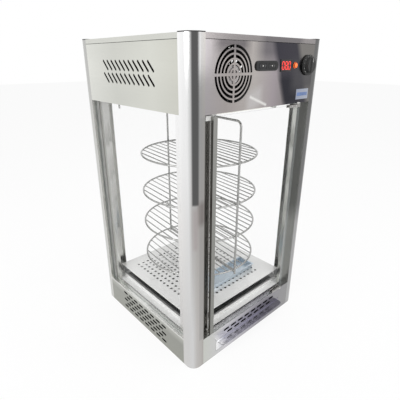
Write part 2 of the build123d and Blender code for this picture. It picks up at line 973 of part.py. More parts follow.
def lamp_holders():
    """The two sockets at the ends of the lamp tube."""
    holders = []
    for sign in (-1, 1):
        x = sorted((sign * tube_length / 2, sign * (tube_length / 2 + holder_width)))
        half = tube_diameter / 2 + sheet
        holders.append(span_box(x, (tube_y - half, tube_y + half), (tube_z - half, deck_underside)))
    return Compound(children=holders)


def temperature_probe():
    """The probe that hangs from the ceiling in a back corner."""
    x = -width / 2 + post_face + flange_width + probe_corner / 2 - flange_return
    y = depth / 2 - probe_corner
    rod = upright(x, y, (deck_underside - probe_length, deck_underside), probe_diameter)
    return rod + upright(x, y, (deck_underside - bush_flange, deck_underside), 3 * probe_diameter)


def inlet_gland():
    """The gland of the mains cord in the back of the base."""
    wall = depth / 2
    thread = lying(inlet_x, (wall - sheet - inlet_nut_length, wall), inlet_z, inlet_thread)
    head = lying(inlet_x, (wall, wall + inlet_head_length), inlet_z, inlet_head)
    nut = lying(inlet_x, (wall - sheet - inlet_nut_length, wall - sheet), inlet_z, inlet_head)
    return (thread + head + nut) - lying(inlet_x, (0, depth), inlet_z, inlet_bore)


def build():
    """Write every piece of the case."""
    os.makedirs("parts", exist_ok=True)
    folded_post = post()
    for corner in CORNERS:
        save(f"post_{corner}", at_corner(folded_post, corner))
    cap = post_cap()
    save("post_caps", Compound(children=[at_corner(cap, corner) for corner in CORNERS]))
    save("top_cover", top_cover())
    save("bottom_plate", bottom_plate())
    save("chamber_floor", chamber_floor())
    save("header_deck", header_deck())
    for side in SIDES:
        save(f"header_panel_{side}", header_panel(side))
        save(f"base_panel_{side}", base_panel(side))
    save("back_screws", back_screws())
    for side in ("left", "right", "back"):
        save(f"glass_{side}", pane(side))
    save("glass_seals", Compound(children=pane_seals("left") + pane_seals("right") + pane_seals("back")))
    save("door_glass", door_glass())
    save("door_edge_trim", door_trim())
    save("door_rest", door_rest())
    for end in ("top", "bottom"):
        save(f"door_clamp_{end}", door_clamp(end))
    save("pivot_bushes", Compound(children=[pivot_bush("top"), pivot_bush("bottom")]))
    save("heater_cover", heater_cover())
    save("heating_element", heating_element())
    save("element_clips", element_clips())
    save("drive_motor", drive_motor())
    save("drive_bush", drive_bush())
    save("drive_shaft", drive_shaft())
    save("drive_hub", drive_hub())
    save("rack_frame", rack_frame())
    shelf = rack_shelf()
    for number, z in enumerate(reversed(shelf_heights), start=1):
        save(f"rack_shelf_{number}", Pos(0, 0, z) * shelf)
    save("rack_socket", rack_socket())
    save("water_pan", water_pan())
    save("crumb_tray", crumb_tray())
    save("tray_runners", Compound(children=[tray_runner("left"), tray_runner("right")]))
    save("fan_frame", fan_frame())
    save("fan_studs", fan_studs())
    save("fan_rotor", fan_rotor())
    save("switch_bezel", switch_bezel())
    save("rocker_light", rocker(rocker_places[0]))
    save("rocker_rack", rocker(rocker_places[1]))
    save("display_window", display_window())
    save("display_module", display_module())
    save("pilot_lamp", pilot_lamp())
    save("thermostat_body", thermostat_body())
    save("thermostat_knob", thermostat_knob())
    save("label_plate", label_plate())
    save("chamber_lamp", chamber_lamp())
    save("lamp_holders", lamp_holders())
    save("temperature_probe", temperature_probe())
    save("inlet_gland", inlet_gland())


build()
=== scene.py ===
"""Dresses the heated display case: a finish for each CAD node, and the small parts the solids leave out."""

import json
import logging
import math
from collections.abc import Callable, Iterable, Iterator
from contextlib import contextmanager
from dataclasses import dataclass
from enum import Enum

import bpy
from mathutils import Matrix, Vector

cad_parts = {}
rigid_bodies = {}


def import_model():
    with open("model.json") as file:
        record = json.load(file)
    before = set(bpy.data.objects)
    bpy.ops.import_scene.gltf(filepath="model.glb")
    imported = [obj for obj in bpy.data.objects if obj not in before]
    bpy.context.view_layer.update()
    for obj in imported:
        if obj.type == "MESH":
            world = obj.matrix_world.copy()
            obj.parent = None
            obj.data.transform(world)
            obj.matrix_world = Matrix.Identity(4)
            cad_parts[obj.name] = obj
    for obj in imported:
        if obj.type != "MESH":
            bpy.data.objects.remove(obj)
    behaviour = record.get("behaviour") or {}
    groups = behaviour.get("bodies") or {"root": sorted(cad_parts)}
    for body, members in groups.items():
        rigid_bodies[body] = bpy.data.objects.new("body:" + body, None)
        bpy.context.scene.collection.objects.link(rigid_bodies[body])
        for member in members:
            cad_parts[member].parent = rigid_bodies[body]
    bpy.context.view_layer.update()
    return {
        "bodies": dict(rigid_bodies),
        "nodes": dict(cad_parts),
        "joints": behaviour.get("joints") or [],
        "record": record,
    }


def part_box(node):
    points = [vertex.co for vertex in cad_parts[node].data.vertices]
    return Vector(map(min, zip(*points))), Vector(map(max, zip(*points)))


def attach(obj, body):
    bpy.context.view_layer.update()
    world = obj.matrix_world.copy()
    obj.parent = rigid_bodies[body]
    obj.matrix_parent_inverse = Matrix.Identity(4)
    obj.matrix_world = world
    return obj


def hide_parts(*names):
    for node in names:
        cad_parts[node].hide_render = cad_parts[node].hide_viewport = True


LOG = logging.getLogger("display_case")

Colour = tuple[float, float, float]
Place = tuple[float, float, float]
Stops = tuple[tuple[float, Colour], ...]


class Axis(Enum):
    """The three directions of the case."""

    X = (1.0, 0.0, 0.0)
    Y = (0.0, 1.0, 0.0)
    Z = (0.0, 0.0, 1.0)


class Body(Enum):
    """The CAD bodies that pieces ride on."""

    CASE = "case"
    DOOR = "door"
    RACK = "rack"
    ROTOR = "rotor"
    KNOB = "knob"
    LIGHT_KEY = "light_key"
    RACK_KEY = "rack_key"


# Shader nodes


class Value:
    """A number that runs through a tree of nodes, with ordinary arithmetic."""

    def __init__(self, sheet: "NodeSheet", socket: bpy.types.NodeSocket) -> None:
        """Wraps one output socket of a sheet."""
        self.sheet = sheet
        self.socket = socket

    def _math(self, operation: str, *terms: "Value | float") -> "Value":
        """Adds one Math node and returns its result."""
        node = self.sheet.node("ShaderNodeMath", {"operation": operation}, dict(enumerate(terms)))
        return Value(self.sheet, node.outputs[0])

    def __add__(self, other: "Value | float") -> "Value":
        """The sum."""
        return self._math("ADD", self, other)

    __radd__ = __add__

    def __sub__(self, other: "Value | float") -> "Value":
        """The difference."""
        return self._math("SUBTRACT", self, other)

    def __rsub__(self, other: float) -> "Value":
        """A plain number less this one."""
        return self._math("SUBTRACT", other, self)

    def __mul__(self, other: "Value | float") -> "Value":
        """The product."""
        return self._math("MULTIPLY", self, other)

    __rmul__ = __mul__

    def size(self) -> "Value":
        """The number without its sign."""
        return self._math("ABSOLUTE", self)

    def between(self, low: float, high: float) -> "Value":
        """The place of this number between two others, held from 0 to 1.

        Args:
            low: The number that gives nought.
            high: The number that gives one.

        Returns:
            The place.
        """
        inputs = {"Value": self, "From Min": low, "From Max": high}
        node = self.sheet.node("ShaderNodeMapRange", {"clamp": True}, inputs)
        return Value(self.sheet, node.outputs["Result"])


class NodeSheet:
    """A tree of shader nodes, which are all added by one method."""

    def __init__(self, owner: bpy.types.Material | bpy.types.World) -> None:
        """Empties the tree of its owner.

        Args:
            owner: The material or world that the nodes are for.
        """
        owner.use_nodes = True
        self.tree = owner.node_tree
        self.tree.nodes.clear()

    def node(self, kind: str, settings: dict, inputs: dict) -> bpy.types.Node:
        """Adds a node.

        Args:
            kind: The node's type name.
            settings: Its properties, and "stops" for the stops of a ramp.
            inputs: Its sockets by name or number, as values, sockets or numbers.

        Returns:
            The new node.
        """
        node = self.tree.nodes.new(kind)
        for key, value in settings.items():
            if key == "stops":
                self._set_stops(node.color_ramp, value)
            else:
                setattr(node, key, value)
        for key, value in inputs.items():
            self._feed(node.inputs[key], value)
        return node

    def _set_stops(self, ramp: bpy.types.ColorRamp, stops: Stops) -> None:
        """Fills a colour ramp.

        Args:
            ramp: The ramp, which starts with two stops.
            stops: Its colours at places from 0 to 1.
        """
        while len(ramp.elements) < len(stops):
            ramp.elements.new(1.0)
        for element, (place, colour) in zip(ramp.elements, stops):
            element.position = place
            element.color = (*colour, 1.0)

    def _feed(self, socket: bpy.types.NodeSocket, value: object) -> None:
        """Links or sets one input.

        Args:
            socket: The input.
            value: A value or socket to link, or the plain number, colour or direction to set.
        """
        if isinstance(value, Value):
            self.tree.links.new(value.socket, socket)
        elif isinstance(value, bpy.types.NodeSocket):
            self.tree.links.new(value, socket)
        elif socket.type == "RGBA" and len(value) == 3:
            socket.default_value = (*value, 1.0)
        else:
            socket.default_value = value

    def seen(self) -> Value:
        """Tells what is looked at from what only lights.

        Returns:
            One for what the camera, a mirror or clear glass sees, and nought for plain light.
        """
        path = self.node("ShaderNodeLightPath", {}, {})
        rays = ("Is Camera Ray", "Is Glossy Ray", "Is Transmission Ray")
        camera, glossy, through = (Value(self, path.outputs[ray]) for ray in rays)
        return (camera + glossy + through).between(0.0, 1.0)


class ShaderSheet(NodeSheet):
    """The nodes of one material, built round a Principled shader."""

    def __init__(self, name: str) -> None:
        """Makes an empty material with its shader and output.

        Args:
            name: The name of the material.
        """
        self.material = bpy.data.materials.new(name)
        super().__init__(self.material)
        self.shader = self.node("ShaderNodeBsdfPrincipled", {}, {})
        self.output = self.node("ShaderNodeOutputMaterial", {}, {"Surface": self.shader.outputs["BSDF"]})
        self.coordinates = self.node("ShaderNodeTexCoord", {}, {})

    def show(self, surface: bpy.types.NodeSocket) -> None:
        """Makes a shader what the surface shows."""
        self._feed(self.output.inputs["Surface"], surface)

    def set(self, **inputs: object) -> None:
        """Feeds the Principled shader, with underscores for the spaces of its sockets."""
        for key, value in inputs.items():
            self._feed(self.shader.inputs[key.replace("_", " ")], value)

    def _dot(self, coordinate: str, direction: Place) -> Value:
        """Measures a coordinate along a direction.

        Args:
            coordinate: The output of the coordinate node.
            direction: The direction in the frame of the case.

        Returns:
            The dot product of the two.
        """
        inputs = {0: self.coordinates.outputs[coordinate], 1: direction}
        node = self.node("ShaderNodeVectorMath", {"operation": "DOT_PRODUCT"}, inputs)
        return Value(self, node.outputs["Value"])

    def along(self, direction: Place) -> Value:
        """How far each point lies along a direction, in metres."""
        return self._dot("Object", direction)

    def turned(self, direction: Place) -> Value:
        """How far the surface is turned towards a direction, from -1 to 1."""
        return self._dot("Normal", direction)

    def facing(self, direction: Place) -> Value:
        """How squarely the surface lies across a direction, from 0 to 1."""
        return self.turned(direction).size()

    def noise(self, stretch: Place, detail: float) -> Value:
        """Adds soft noise.

        Args:
            stretch: Its grains per metre along each axis.
            detail: How many finer layers it has.

        Returns:
            The noise, about 0.5 on the whole.
        """
        where = {"Vector": self.coordinates.outputs["Object"], "Scale": stretch}
        mapped = self.node("ShaderNodeMapping", {}, where)
        inputs = {"Vector": mapped.outputs["Vector"], "Scale": 1.0, "Detail": detail}
        node = self.node("ShaderNodeTexNoise", {}, inputs)
        return Value(self, node.outputs["Fac"])

    def mix(self, factor: "Value | float", first: object, second: object) -> bpy.types.NodeSocket:
        """A colour between two others."""
        node = self.node("ShaderNodeMix", {"data_type": "RGBA"}, {0: factor, 6: first, 7: second})
        return node.outputs[2]

    def toned(self, colour: object, factor: Value) -> bpy.types.NodeSocket:
        """A colour made lighter or darker by a number."""
        node = self.node("ShaderNodeVectorMath", {"operation": "SCALE"}, {0: colour, "Scale": factor})
        return node.outputs["Vector"]

    def raise_surface(self, height: Value, depth: float) -> None:
        """Gives the surface a relief of a given depth in metres."""
        inputs = {"Height": height, "Distance": depth, "Strength": 1.0}
        self.set(Normal=self.node("ShaderNodeBump", {}, inputs).outputs["Normal"])


# Finishes


@dataclass(frozen=True)
class Shade:
    """A run of colours along a direction of the case, at places in metres."""

    direction: Place
    stops: Stops

    def paint(self, sheet: ShaderSheet) -> bpy.types.NodeSocket:
        """Adds the ramp to a sheet.

        Args:
            sheet: The material that is painted.

        Returns:
            The socket of the colour.
        """
        low, high = self.stops[0][0], self.stops[-1][0]
        stops = tuple(((place - low) / (high - low), colour) for place, colour in self.stops)
        where = sheet.along(self.direction).between(low, high)
        ramp = sheet.node("ShaderNodeValToRGB", {"stops": stops}, {"Fac": where})
        return ramp.outputs["Color"]


@dataclass(frozen=True)
class CrossShade:
    """Runs of colours at several places along a second direction, each turning into the next."""

    direction: Place
    rows: tuple[tuple[float, Shade], ...]

    def paint(self, sheet: ShaderSheet) -> bpy.types.NodeSocket:
        """Adds the runs to a sheet.

        Args:
            sheet: The material that is painted.

        Returns:
            The socket of the colour between them.
        """
        colour = self.rows[0][1].paint(sheet)
        for (low, _), (high, shade) in zip(self.rows, self.rows[1:]):
            where = sheet.along(self.direction).between(low, high)
            colour = sheet.mix(where, colour, shade.paint(sheet))
        return colour


@dataclass(frozen=True)
class Patch:
    """A soft-edged patch of another tone, such as the reflection of something dark."""

    across: Place
    reach: tuple[float, float]
    up: Place
    rise: tuple[float, float]
    colour: Colour
    soft: float = 0.01
    strength: float = 0.9

    def lay(self, sheet: ShaderSheet, under: bpy.types.NodeSocket) -> bpy.types.NodeSocket:
        """Lays the patch over a colour.

        Args:
            sheet: The material that is painted.
            under: The colour so far.

        Returns:
            The socket of the new colour.
        """
        share: Value | float = self.strength
        for direction, (low, high) in ((self.across, self.reach), (self.up, self.rise)):
            where = sheet.along(direction)
            start = where.between(low - self.soft, low + self.soft)
            end = where.between(high - self.soft, high + self.soft)
            share = share * (start * (1.0 - end))
        return sheet.mix(share, under, self.colour)


@dataclass(frozen=True)
class Finish:
    """A named surface finish."""

    name: str

    def sheet(self) -> ShaderSheet:
        """Builds the nodes of the finish."""
        raise NotImplementedError

    def material(self) -> bpy.types.Material:
        """The finish as a material, built once."""
        return bpy.data.materials.get(self.name) or self.sheet().material


@dataclass(frozen=True)
class Steel(Finish):
    """Stainless steel with a fine brushed grain, soft smears, and runs and patches that mostly paint
    reflection, light and shade.
    """

    shade: Shade | CrossShade
    patches: tuple[Patch, ...] = ()
    side_light_and_shade: Colour | None = None
    light_and_shade_side: Place = (0.0, 0.0, -1.0)
    grain: Axis = Axis.Z
    metal: float = 1.0
    roughness: float = 0.22
    smear: float = 0.16
    brushing: float = 0.1
    relief: float = 0.00002
    line_scale: tuple[float, float] = (9.0, 1300.0)
    smear_scale: tuple[float, float] = (2.0, 9.0)
    rough_lines: float = 0.12
    rough_smears: float = 0.08
    light_and_shade_turn: tuple[float, float] = (0.4, 0.6)

    def stretched(self, scale: tuple[float, float]) -> Place:
        """A noise scale with one number along the grain and another across it."""
        along, across = scale
        return tuple(along if part else across for part in self.grain.value)

    def sheet(self) -> ShaderSheet:
        """Builds the nodes of the steel.

        Returns:
            The sheet of the material.
        """
        sheet = ShaderSheet(self.name)
        lines = sheet.noise(self.stretched(self.line_scale), 3.0)
        smears = sheet.noise(self.stretched(self.smear_scale), 2.0)
        tone = 1.0 + (smears - 0.5) * self.smear + (lines - 0.5) * self.brushing
        roughness = self.roughness + (lines - 0.5) * self.rough_lines
        roughness = roughness + (smears - 0.5) * self.rough_smears
        colour = self.shade.paint(sheet)
        for patch in self.patches:
            colour = patch.lay(sheet, colour)
        # Faces turned towards one side take a painted colour: painted shade on inner faces and undersides,
        # painted light on the right post's returns.
        if self.side_light_and_shade:
            turned = sheet.turned(self.light_and_shade_side).between(*self.light_and_shade_turn)
            colour = sheet.mix(turned, colour, self.side_light_and_shade)
        sheet.set(Base_Color=sheet.toned(colour, tone), Metallic=self.metal, Roughness=roughness)
        sheet.raise_surface(lines, self.relief)
        return sheet


@dataclass(frozen=True)
class PlatedWire(Finish):
    """Bright plated wire, a little duller where the rack is handled."""

    colour: Colour
    roughness: float
    dulling: float = 0.72
    spot_scale: float = 90.0
    drawn_scale: float = 700.0
    relief: float = 0.00003

    def sheet(self) -> ShaderSheet:
        """Builds the nodes of the wire.

        Returns:
            The sheet of the material.
        """
        sheet = ShaderSheet(self.name)
        spots = sheet.noise((self.spot_scale,) * 3, 3.0)
        drawn = sheet.noise((self.drawn_scale,) * 3, 1.0)
        dull = tuple(part * self.dulling for part in self.colour)
        sheet.set(Base_Color=sheet.mix(spots.between(0.35, 0.75), self.colour, dull), Metallic=1.0)
        sheet.set(Roughness=self.roughness + (spots - 0.4) * 0.3)
        sheet.raise_surface(drawn, self.relief)
        return sheet


@dataclass(frozen=True)
class PaneGlass(Finish):
    """Clear float glass: nearly unseen through its faces, and green along its cut edges."""

    across: Axis
    face_colour: Colour = (0.92, 0.95, 0.94)
    edge_colour: Colour = (0.36, 0.42, 0.4)
    body: float = 0.004
    film: float = 0.008
    edge: float = 0.25

    def sheet(self) -> ShaderSheet:
        """Builds the nodes of the glass.

        Returns:
            The sheet of the material.
        """
        sheet = ShaderSheet(self.name)
        cut = 1.0 - sheet.facing(self.across.value).between(0.4, 0.8)
        film = sheet.noise((7.0, 7.0, 3.0), 3.0)
        sheet.set(Base_Color=sheet.mix(cut, self.face_colour, self.edge_colour), IOR=1.45)
        sheet.set(Alpha=self.body + film * self.film + cut * self.edge)
        sheet.set(Roughness=0.04 + film * 0.05 + cut * 0.2)
        return sheet


@dataclass(frozen=True)
class Moulded(Finish):
    """Moulded plastic or rubber with a fine stipple."""

    colour: Colour
    roughness: float = 0.45
    stipple: float = 2200.0
    depth: float = 0.00004
    shine: float = 0.3
    wear_scale: float = 30.0
    rough_wear: float = 0.16
    rough_grains: float = 0.08

    def sheet(self) -> ShaderSheet:
        """Builds the nodes of the plastic.

        Returns:
            The sheet of the material.
        """
        sheet = ShaderSheet(self.name)
        grains = sheet.noise((self.stipple,) * 3, 2.0)
        wear = sheet.noise((self.wear_scale,) * 3, 4.0)
        worn = tuple(min(1.0, part * 1.25 + 0.012) for part in self.colour)
        sheet.set(Base_Color=sheet.mix(wear.between(0.45, 0.8), self.colour, worn))
        roughness = self.roughness + (wear - 0.5) * self.rough_wear
        sheet.set(Roughness=roughness + (grains - 0.5) * self.rough_grains, Specular_IOR_Level=self.shine)
        sheet.raise_surface(grains, self.depth)
        return sheet


@dataclass(frozen=True)
class TemperedSteel(Finish):
    """Steel tube browned and blued by its own heat."""

    cool: Colour
    hot: Colour
    band_scale: float = 24.0
    scale_grain: float = 900.0
    roughness: float = 0.42
    relief: float = 0.00005

    def sheet(self) -> ShaderSheet:
        """Builds the nodes of the tube.

        Returns:
            The sheet of the material.
        """
        sheet = ShaderSheet(self.name)
        bands = sheet.noise((self.band_scale,) * 3, 2.0)
        scale = sheet.noise((self.scale_grain,) * 3, 3.0)
        sheet.set(Base_Color=sheet.mix(bands.between(0.35, 0.65), self.cool, self.hot), Metallic=0.85)
        sheet.set(Roughness=self.roughness + (scale - 0.5) * 0.3)
        sheet.raise_surface(scale, self.relief)
        return sheet


@dataclass(frozen=True)
class Lens(Finish):
    """A coloured lens or lit mark that glows by a given strength."""

    colour: Colour
    glow: Colour
    strength: float
    frost: float = 400.0

    def sheet(self) -> ShaderSheet:
        """Builds the nodes of the lens.

        Returns:
            The sheet of the material.
        """
        sheet = ShaderSheet(self.name)
        depth = sheet.noise((self.frost,) * 3, 2.0)
        bright = depth.between(0.2, 0.8) * 0.35 + 0.75
        sheet.set(Base_Color=sheet.toned(self.colour, bright), Roughness=0.1 + depth * 0.12)
        sheet.set(Emission_Color=sheet.toned(self.glow, bright), Emission_Strength=self.strength)
        return sheet


def plain(*colour: float) -> Shade:
    """A shade of one colour all over, which the finish then varies."""
    return Shade(Axis.Z.value, ((0.0, colour), (1.0, colour)))


def grey(level: float, warm: float = 0.0) -> Colour:
    """A grey, a little warmer or cooler."""
    return (level + warm, level, level - warm)


RIGHT, BACK, UP = Axis.X.value, Axis.Y.value, Axis.Z.value
LEFT, FRONT = (-1.0, 0.0, 0.0), (0.0, -1.0, 0.0)
ROUND_NEAR_POST = (1.0, -1.0, 0.0)
SLANT, TILTED = (1.0, 0.0, 0.425), (-0.3, 0.0, 1.0)
GLINT_UP, GLINT_ACROSS = (0.367, 0.0, 1.0), (1.0, 0.0, -0.367)
# Painted shade for the inner faces and undersides of the steel sheets.
INNER_SHADE = grey(0.02)

# The near post's tones are painted reflection and light: bright left face, brighter high up, darker front
# face, a dark band round the corner above mid height, a dark reddish patch and a pale pinkish patch below it,
# and a darker strip down the front.
POST_LOW = Shade(
    ROUND_NEAR_POST,
    ((-0.037, grey(0.6, 0.01)), (0.0, grey(0.64)), (0.014, grey(0.5, 0.015)), (0.037, grey(0.4, 0.02))),
)
POST_MIDDLE = Shade(
    ROUND_NEAR_POST,
    ((-0.037, grey(0.78, 0.01)), (-0.01, grey(0.72)), (0.0, grey(0.45, 0.01)), (0.037, grey(0.33, 0.02))),
)
POST_HIGH = Shade(
    ROUND_NEAR_POST,
    (
        (-0.037, grey(0.94)),
        (-0.012, grey(0.84)),
        (0.002, grey(0.45)),
        (0.022, grey(0.33)),
        (0.037, grey(0.35, 0.015)),
    ),
)
POST_NEAR = Steel(
    "post_near_steel",
    CrossShade(UP, ((0.12, POST_LOW), (0.42, POST_MIDDLE), (0.62, POST_HIGH))),
    patches=(
        Patch(ROUND_NEAR_POST, (0.0005, 0.0205), UP, (0.47, 0.9), grey(0.09), 0.0025, 0.96),
        Patch(ROUND_NEAR_POST, (0.021, 0.04), UP, (0.42, 0.475), (0.14, 0.1, 0.09), 0.008, 0.8),
        Patch(ROUND_NEAR_POST, (0.003, 0.018), UP, (0.36, 0.46), (0.38, 0.33, 0.33), 0.006, 0.5),
        Patch(ROUND_NEAR_POST, (0.0225, 0.06), UP, (0.09, 0.655), grey(0.27), 0.002, 0.4),
    ),
    roughness=0.16,
)
POST_BACK_LEFT = Steel(
    "post_back_left_steel",
    Shade(UP, ((0.1, (0.58, 0.58, 0.56)), (0.5, (0.62, 0.62, 0.6)), (0.78, (0.5, 0.5, 0.485)))),
)
# The right post's tones are painted reflection, dark above 0.36 m and lighter below; its returns facing left
# take a painted light.
POST_RIGHT = Steel(
    "post_right_steel",
    Shade(
        UP,
        (
            (0.0, grey(0.4)),
            (0.3, grey(0.36)),
            (0.36, grey(0.17)),
            (0.6, grey(0.16)),
            (0.8, grey(0.14)),
        ),
    ),
    side_light_and_shade=(0.56, 0.57, 0.54),
    light_and_shade_side=LEFT,
)
# The left header panel's tones along its length are painted reflection; its inner face takes painted shade.
HEADER_LEFT = Steel(
    "header_left_steel",
    Shade(
        BACK,
        (
            (-0.19, (0.65, 0.65, 0.59)),
            (-0.1, (0.7, 0.705, 0.65)),
            (0.05, (0.63, 0.635, 0.59)),
            (0.19, (0.73, 0.735, 0.69)),
        ),
    ),
    side_light_and_shade=INNER_SHADE,
    light_and_shade_side=RIGHT,
    grain=Axis.Y,
)
# The front header panel's tones are painted reflection, lighter at the left and middle and dark at the right;
# its patches are painted reflections of dark things, a pale painted reflection and a painted glint; its inner
# face takes painted shade.
HEADER_FRONT = Steel(
    "header_front_steel",
    Shade(
        RIGHT,
        (
            (-0.19, (0.36, 0.34, 0.35)),
            (-0.13, (0.36, 0.33, 0.32)),
            (-0.04, (0.46, 0.43, 0.41)),
            (0.03, (0.36, 0.32, 0.34)),
            (0.1, (0.2, 0.19, 0.18)),
            (0.19, (0.19, 0.18, 0.17)),
        ),
    ),
    patches=(
        Patch(RIGHT, (-0.16, -0.065), UP, (0.775, 0.83), (0.13, 0.12, 0.13), 0.014, 0.8),
        Patch(RIGHT, (-0.03, 0.06), UP, (0.755, 0.83), (0.1, 0.095, 0.11), 0.022, 0.75),
        Patch(SLANT, (0.358, 0.455), UP, (0.64, 0.83), (0.04, 0.038, 0.05), 0.01, 0.97),
        Patch(SLANT, (0.356, 0.42), UP, (0.66, 0.725), (0.022, 0.022, 0.03), 0.01, 0.9),
        Patch(RIGHT, (0.1, 0.2), UP, (0.69, 0.76), (0.07, 0.068, 0.075), 0.014, 0.8),
        Patch(RIGHT, (-0.062, -0.015), TILTED, (0.672, 0.712), (0.55, 0.53, 0.53), 0.009, 0.75),
        Patch(GLINT_UP, (0.6634, 0.669), GLINT_ACROSS, (-0.306, -0.238), (0.82, 0.81, 0.79), 0.0022),
    ),
    side_light_and_shade=INNER_SHADE,
    light_and_shade_side=BACK,
    grain=Axis.X,
    roughness=0.17,
)
# The left base panel's tones are painted light and shade: dark low down, with a painted highlight along its
# top; its inner face takes painted shade.
BASE_LEFT = Steel(
    "base_left_steel",
    Shade(
        UP,
        (
            (0.0, (0.31, 0.315, 0.28)),
            (0.06, (0.31, 0.315, 0.285)),
            (0.078, (0.44, 0.445, 0.41)),
            (0.085, (0.75, 0.755, 0.73)),
        ),
    ),
    side_light_and_shade=INNER_SHADE,
    light_and_shade_side=RIGHT,
    grain=Axis.Y,
)
# The front base panel's tones are painted reflection, light at the left and dark at the right; its inner face
# takes painted shade.
BASE_FRONT = Steel(
    "base_front_steel",
    Shade(
        RIGHT,
        (
            (-0.19, (0.57, 0.58, 0.54)),
            (-0.1, (0.6, 0.59, 0.62)),
            (0.05, (0.27, 0.26, 0.29)),
            (0.19, (0.28, 0.28, 0.28)),
        ),
    ),
    side_light_and_shade=INNER_SHADE,
    light_and_shade_side=BACK,
    grain=Axis.X,
)
# These four sheets take painted shade on their inner faces.
SHEET = Steel("back_panel_steel", plain(0.55, 0.55, 0.53), side_light_and_shade=INNER_SHADE, light_and_shade_side=FRONT, grain=Axis.X)
SIDE_SHEET = Steel("side_sheet_steel", plain(0.52, 0.52, 0.5), side_light_and_shade=INNER_SHADE, light_and_shade_side=LEFT, grain=Axis.Y)
DECK_SHEET = Steel("ceiling_steel", plain(0.62, 0.62, 0.61), side_light_and_shade=INNER_SHADE, light_and_shade_side=UP, grain=Axis.X)
BOTTOM_SHEET = Steel("bottom_plate_steel", plain(0.4, 0.4, 0.39), side_light_and_shade=INNER_SHADE, light_and_shade_side=UP, grain=Axis.X)
RUNNER_SHEET = Steel("tray_runner_steel", plain(0.08, 0.08, 0.08), grain=Axis.Y, roughness=0.4)
# The top cover's front band takes a darker painted reflection, with a dark painted reflection near its
# middle; its underside takes painted shade.
TOP_SHEET = Steel(
    "top_cover_steel",
    plain(0.66, 0.665, 0.62),
    patches=(
        Patch(RIGHT, (-0.3, 0.3), BACK, (-0.3, -0.2245), (0.3, 0.28, 0.28), 0.0003, 1.0),
        Patch(RIGHT, (-0.02, 0.13), BACK, (-0.3, -0.2245), (0.07, 0.066, 0.08), 0.012, 0.9),
    ),
    side_light_and_shade=INNER_SHADE,
    grain=Axis.X,
    roughness=0.18,
)
# The chamber floor's middle square, under the heater cover, is painted nearly black as painted shade; its
# underside takes painted shade too.
FLOOR_SHEET = Steel(
    "polished_floor_steel",
    plain(0.95, 0.95, 0.94),
    patches=(Patch(RIGHT, (-0.172, 0.172), BACK, (-0.172, 0.172), grey(0.02), 0.003, 1.0),),
    side_light_and_shade=grey(0.05),
    grain=Axis.X,
    metal=0.0,
    roughness=0.4,
    smear=0.06,
    brushing=0.04,
)
# The heater cover's underside takes painted shade.
COVER_SHEET = Steel(
    "heater_cover_steel",
    plain(0.9, 0.9, 0.89),
    side_light_and_shade=grey(0.05),
    grain=Axis.X,
    metal=0.3,
    roughness=0.22,
    smear=0.06,
)
PAN_SHEET = Steel(
    "water_pan_steel",
    plain(0.6, 0.68, 0.75),
    grain=Axis.X,
    metal=0.6,
    roughness=0.3,
    smear=0.05,
)
# The crumb tray's lip is painted light at the left and darker to the right as painted reflection; behind the
# lip the tray is a plain mid grey; its left outer wall takes painted shade.
TRAY_SHEET = Steel(
    "crumb_tray_steel",
    Shade(
        RIGHT,
        (
            (-0.14, grey(0.95)),
            (-0.11, (0.55, 0.55, 0.6)),
            (0.0, (0.42, 0.41, 0.48)),
            (0.14, (0.3, 0.29, 0.34)),
        ),
    ),
    patches=(Patch(BACK, (-0.2245, 0.3), UP, (0.0, 0.0415), grey(0.36), 0.0005, 1.0),),
    side_light_and_shade=INNER_SHADE,
    light_and_shade_side=LEFT,
    grain=Axis.X,
    roughness=0.26,
)
TRIM_STEEL = Steel(
    "door_trim_steel",
    Shade(UP, ((0.08, (0.25, 0.25, 0.235)), (0.65, (0.3, 0.3, 0.285)))),
)
CLAMP_STEEL = Steel("door_clamp_steel", plain(0.34, 0.33, 0.32), roughness=0.3)
TURNED = Steel("turned_steel", plain(0.55, 0.55, 0.54), roughness=0.28)
WIRE = PlatedWire("plated_wire", (0.46, 0.46, 0.45), 0.22)
ELEMENT = TemperedSteel("element_tube", (0.2, 0.18, 0.16), (0.13, 0.13, 0.16))
GLASS_SIDE = PaneGlass("side_pane_glass", Axis.X)
GLASS_BACK = PaneGlass("back_pane_glass", Axis.Y)
GLASS_DOOR = PaneGlass("door_pane_glass", Axis.Y)
BLACK = Moulded("black_plastic", (0.008, 0.008, 0.009), 0.5, shine=0.2)
ROTOR_BLACK = Moulded("rotor_black_plastic", (0.004, 0.004, 0.004), 0.9, shine=0.02)
BLACK_GLOSS = Moulded("glossy_black_plastic", (0.006, 0.006, 0.007), 0.28, 1500.0, 0.00001, 0.35)
SILICONE = Moulded("silicone_strip", (0.3, 0.3, 0.29), 0.6)
WHITE = Moulded("white_plastic", (0.8, 0.8, 0.77), 0.4)
MOTOR_PAINT = Moulded("motor_paint", (0.1, 0.1, 0.11), 0.5, 900.0)
FAN_DISC = Steel("fan_disc_foil", plain(0.5, 0.48, 0.48), metal=0.2, roughness=0.6)
DARK_ZINC = Steel("dark_zinc_screws", plain(0.05, 0.05, 0.05), roughness=0.5)
PRINT = Moulded("white_print", (0.75, 0.75, 0.72), 0.6)
GREY_PRINT = Moulded("grey_print", (0.22, 0.22, 0.23), 0.5)
LABEL = Steel(
    "label_foil",
    Shade(RIGHT, ((0.12, (0.32, 0.35, 0.44)), (0.18, (0.42, 0.45, 0.52)))),
    grain=Axis.X,
    roughness=0.3,
)
LABEL_BAND = Moulded("label_band_blue", (0.13, 0.2, 0.4), 0.4)
DISPLAY = Lens("display_window_red", (0.02, 0.003, 0.004), (0.3, 0.004, 0.006), 0.05)
DIGITS = Lens("lit_digits", (0.8, 0.03, 0.02), (1.0, 0.05, 0.04), 1.0)
PILOT = Lens("pilot_lens_orange", (0.8, 0.14, 0.02), (1.0, 0.16, 0.03), 0.9)
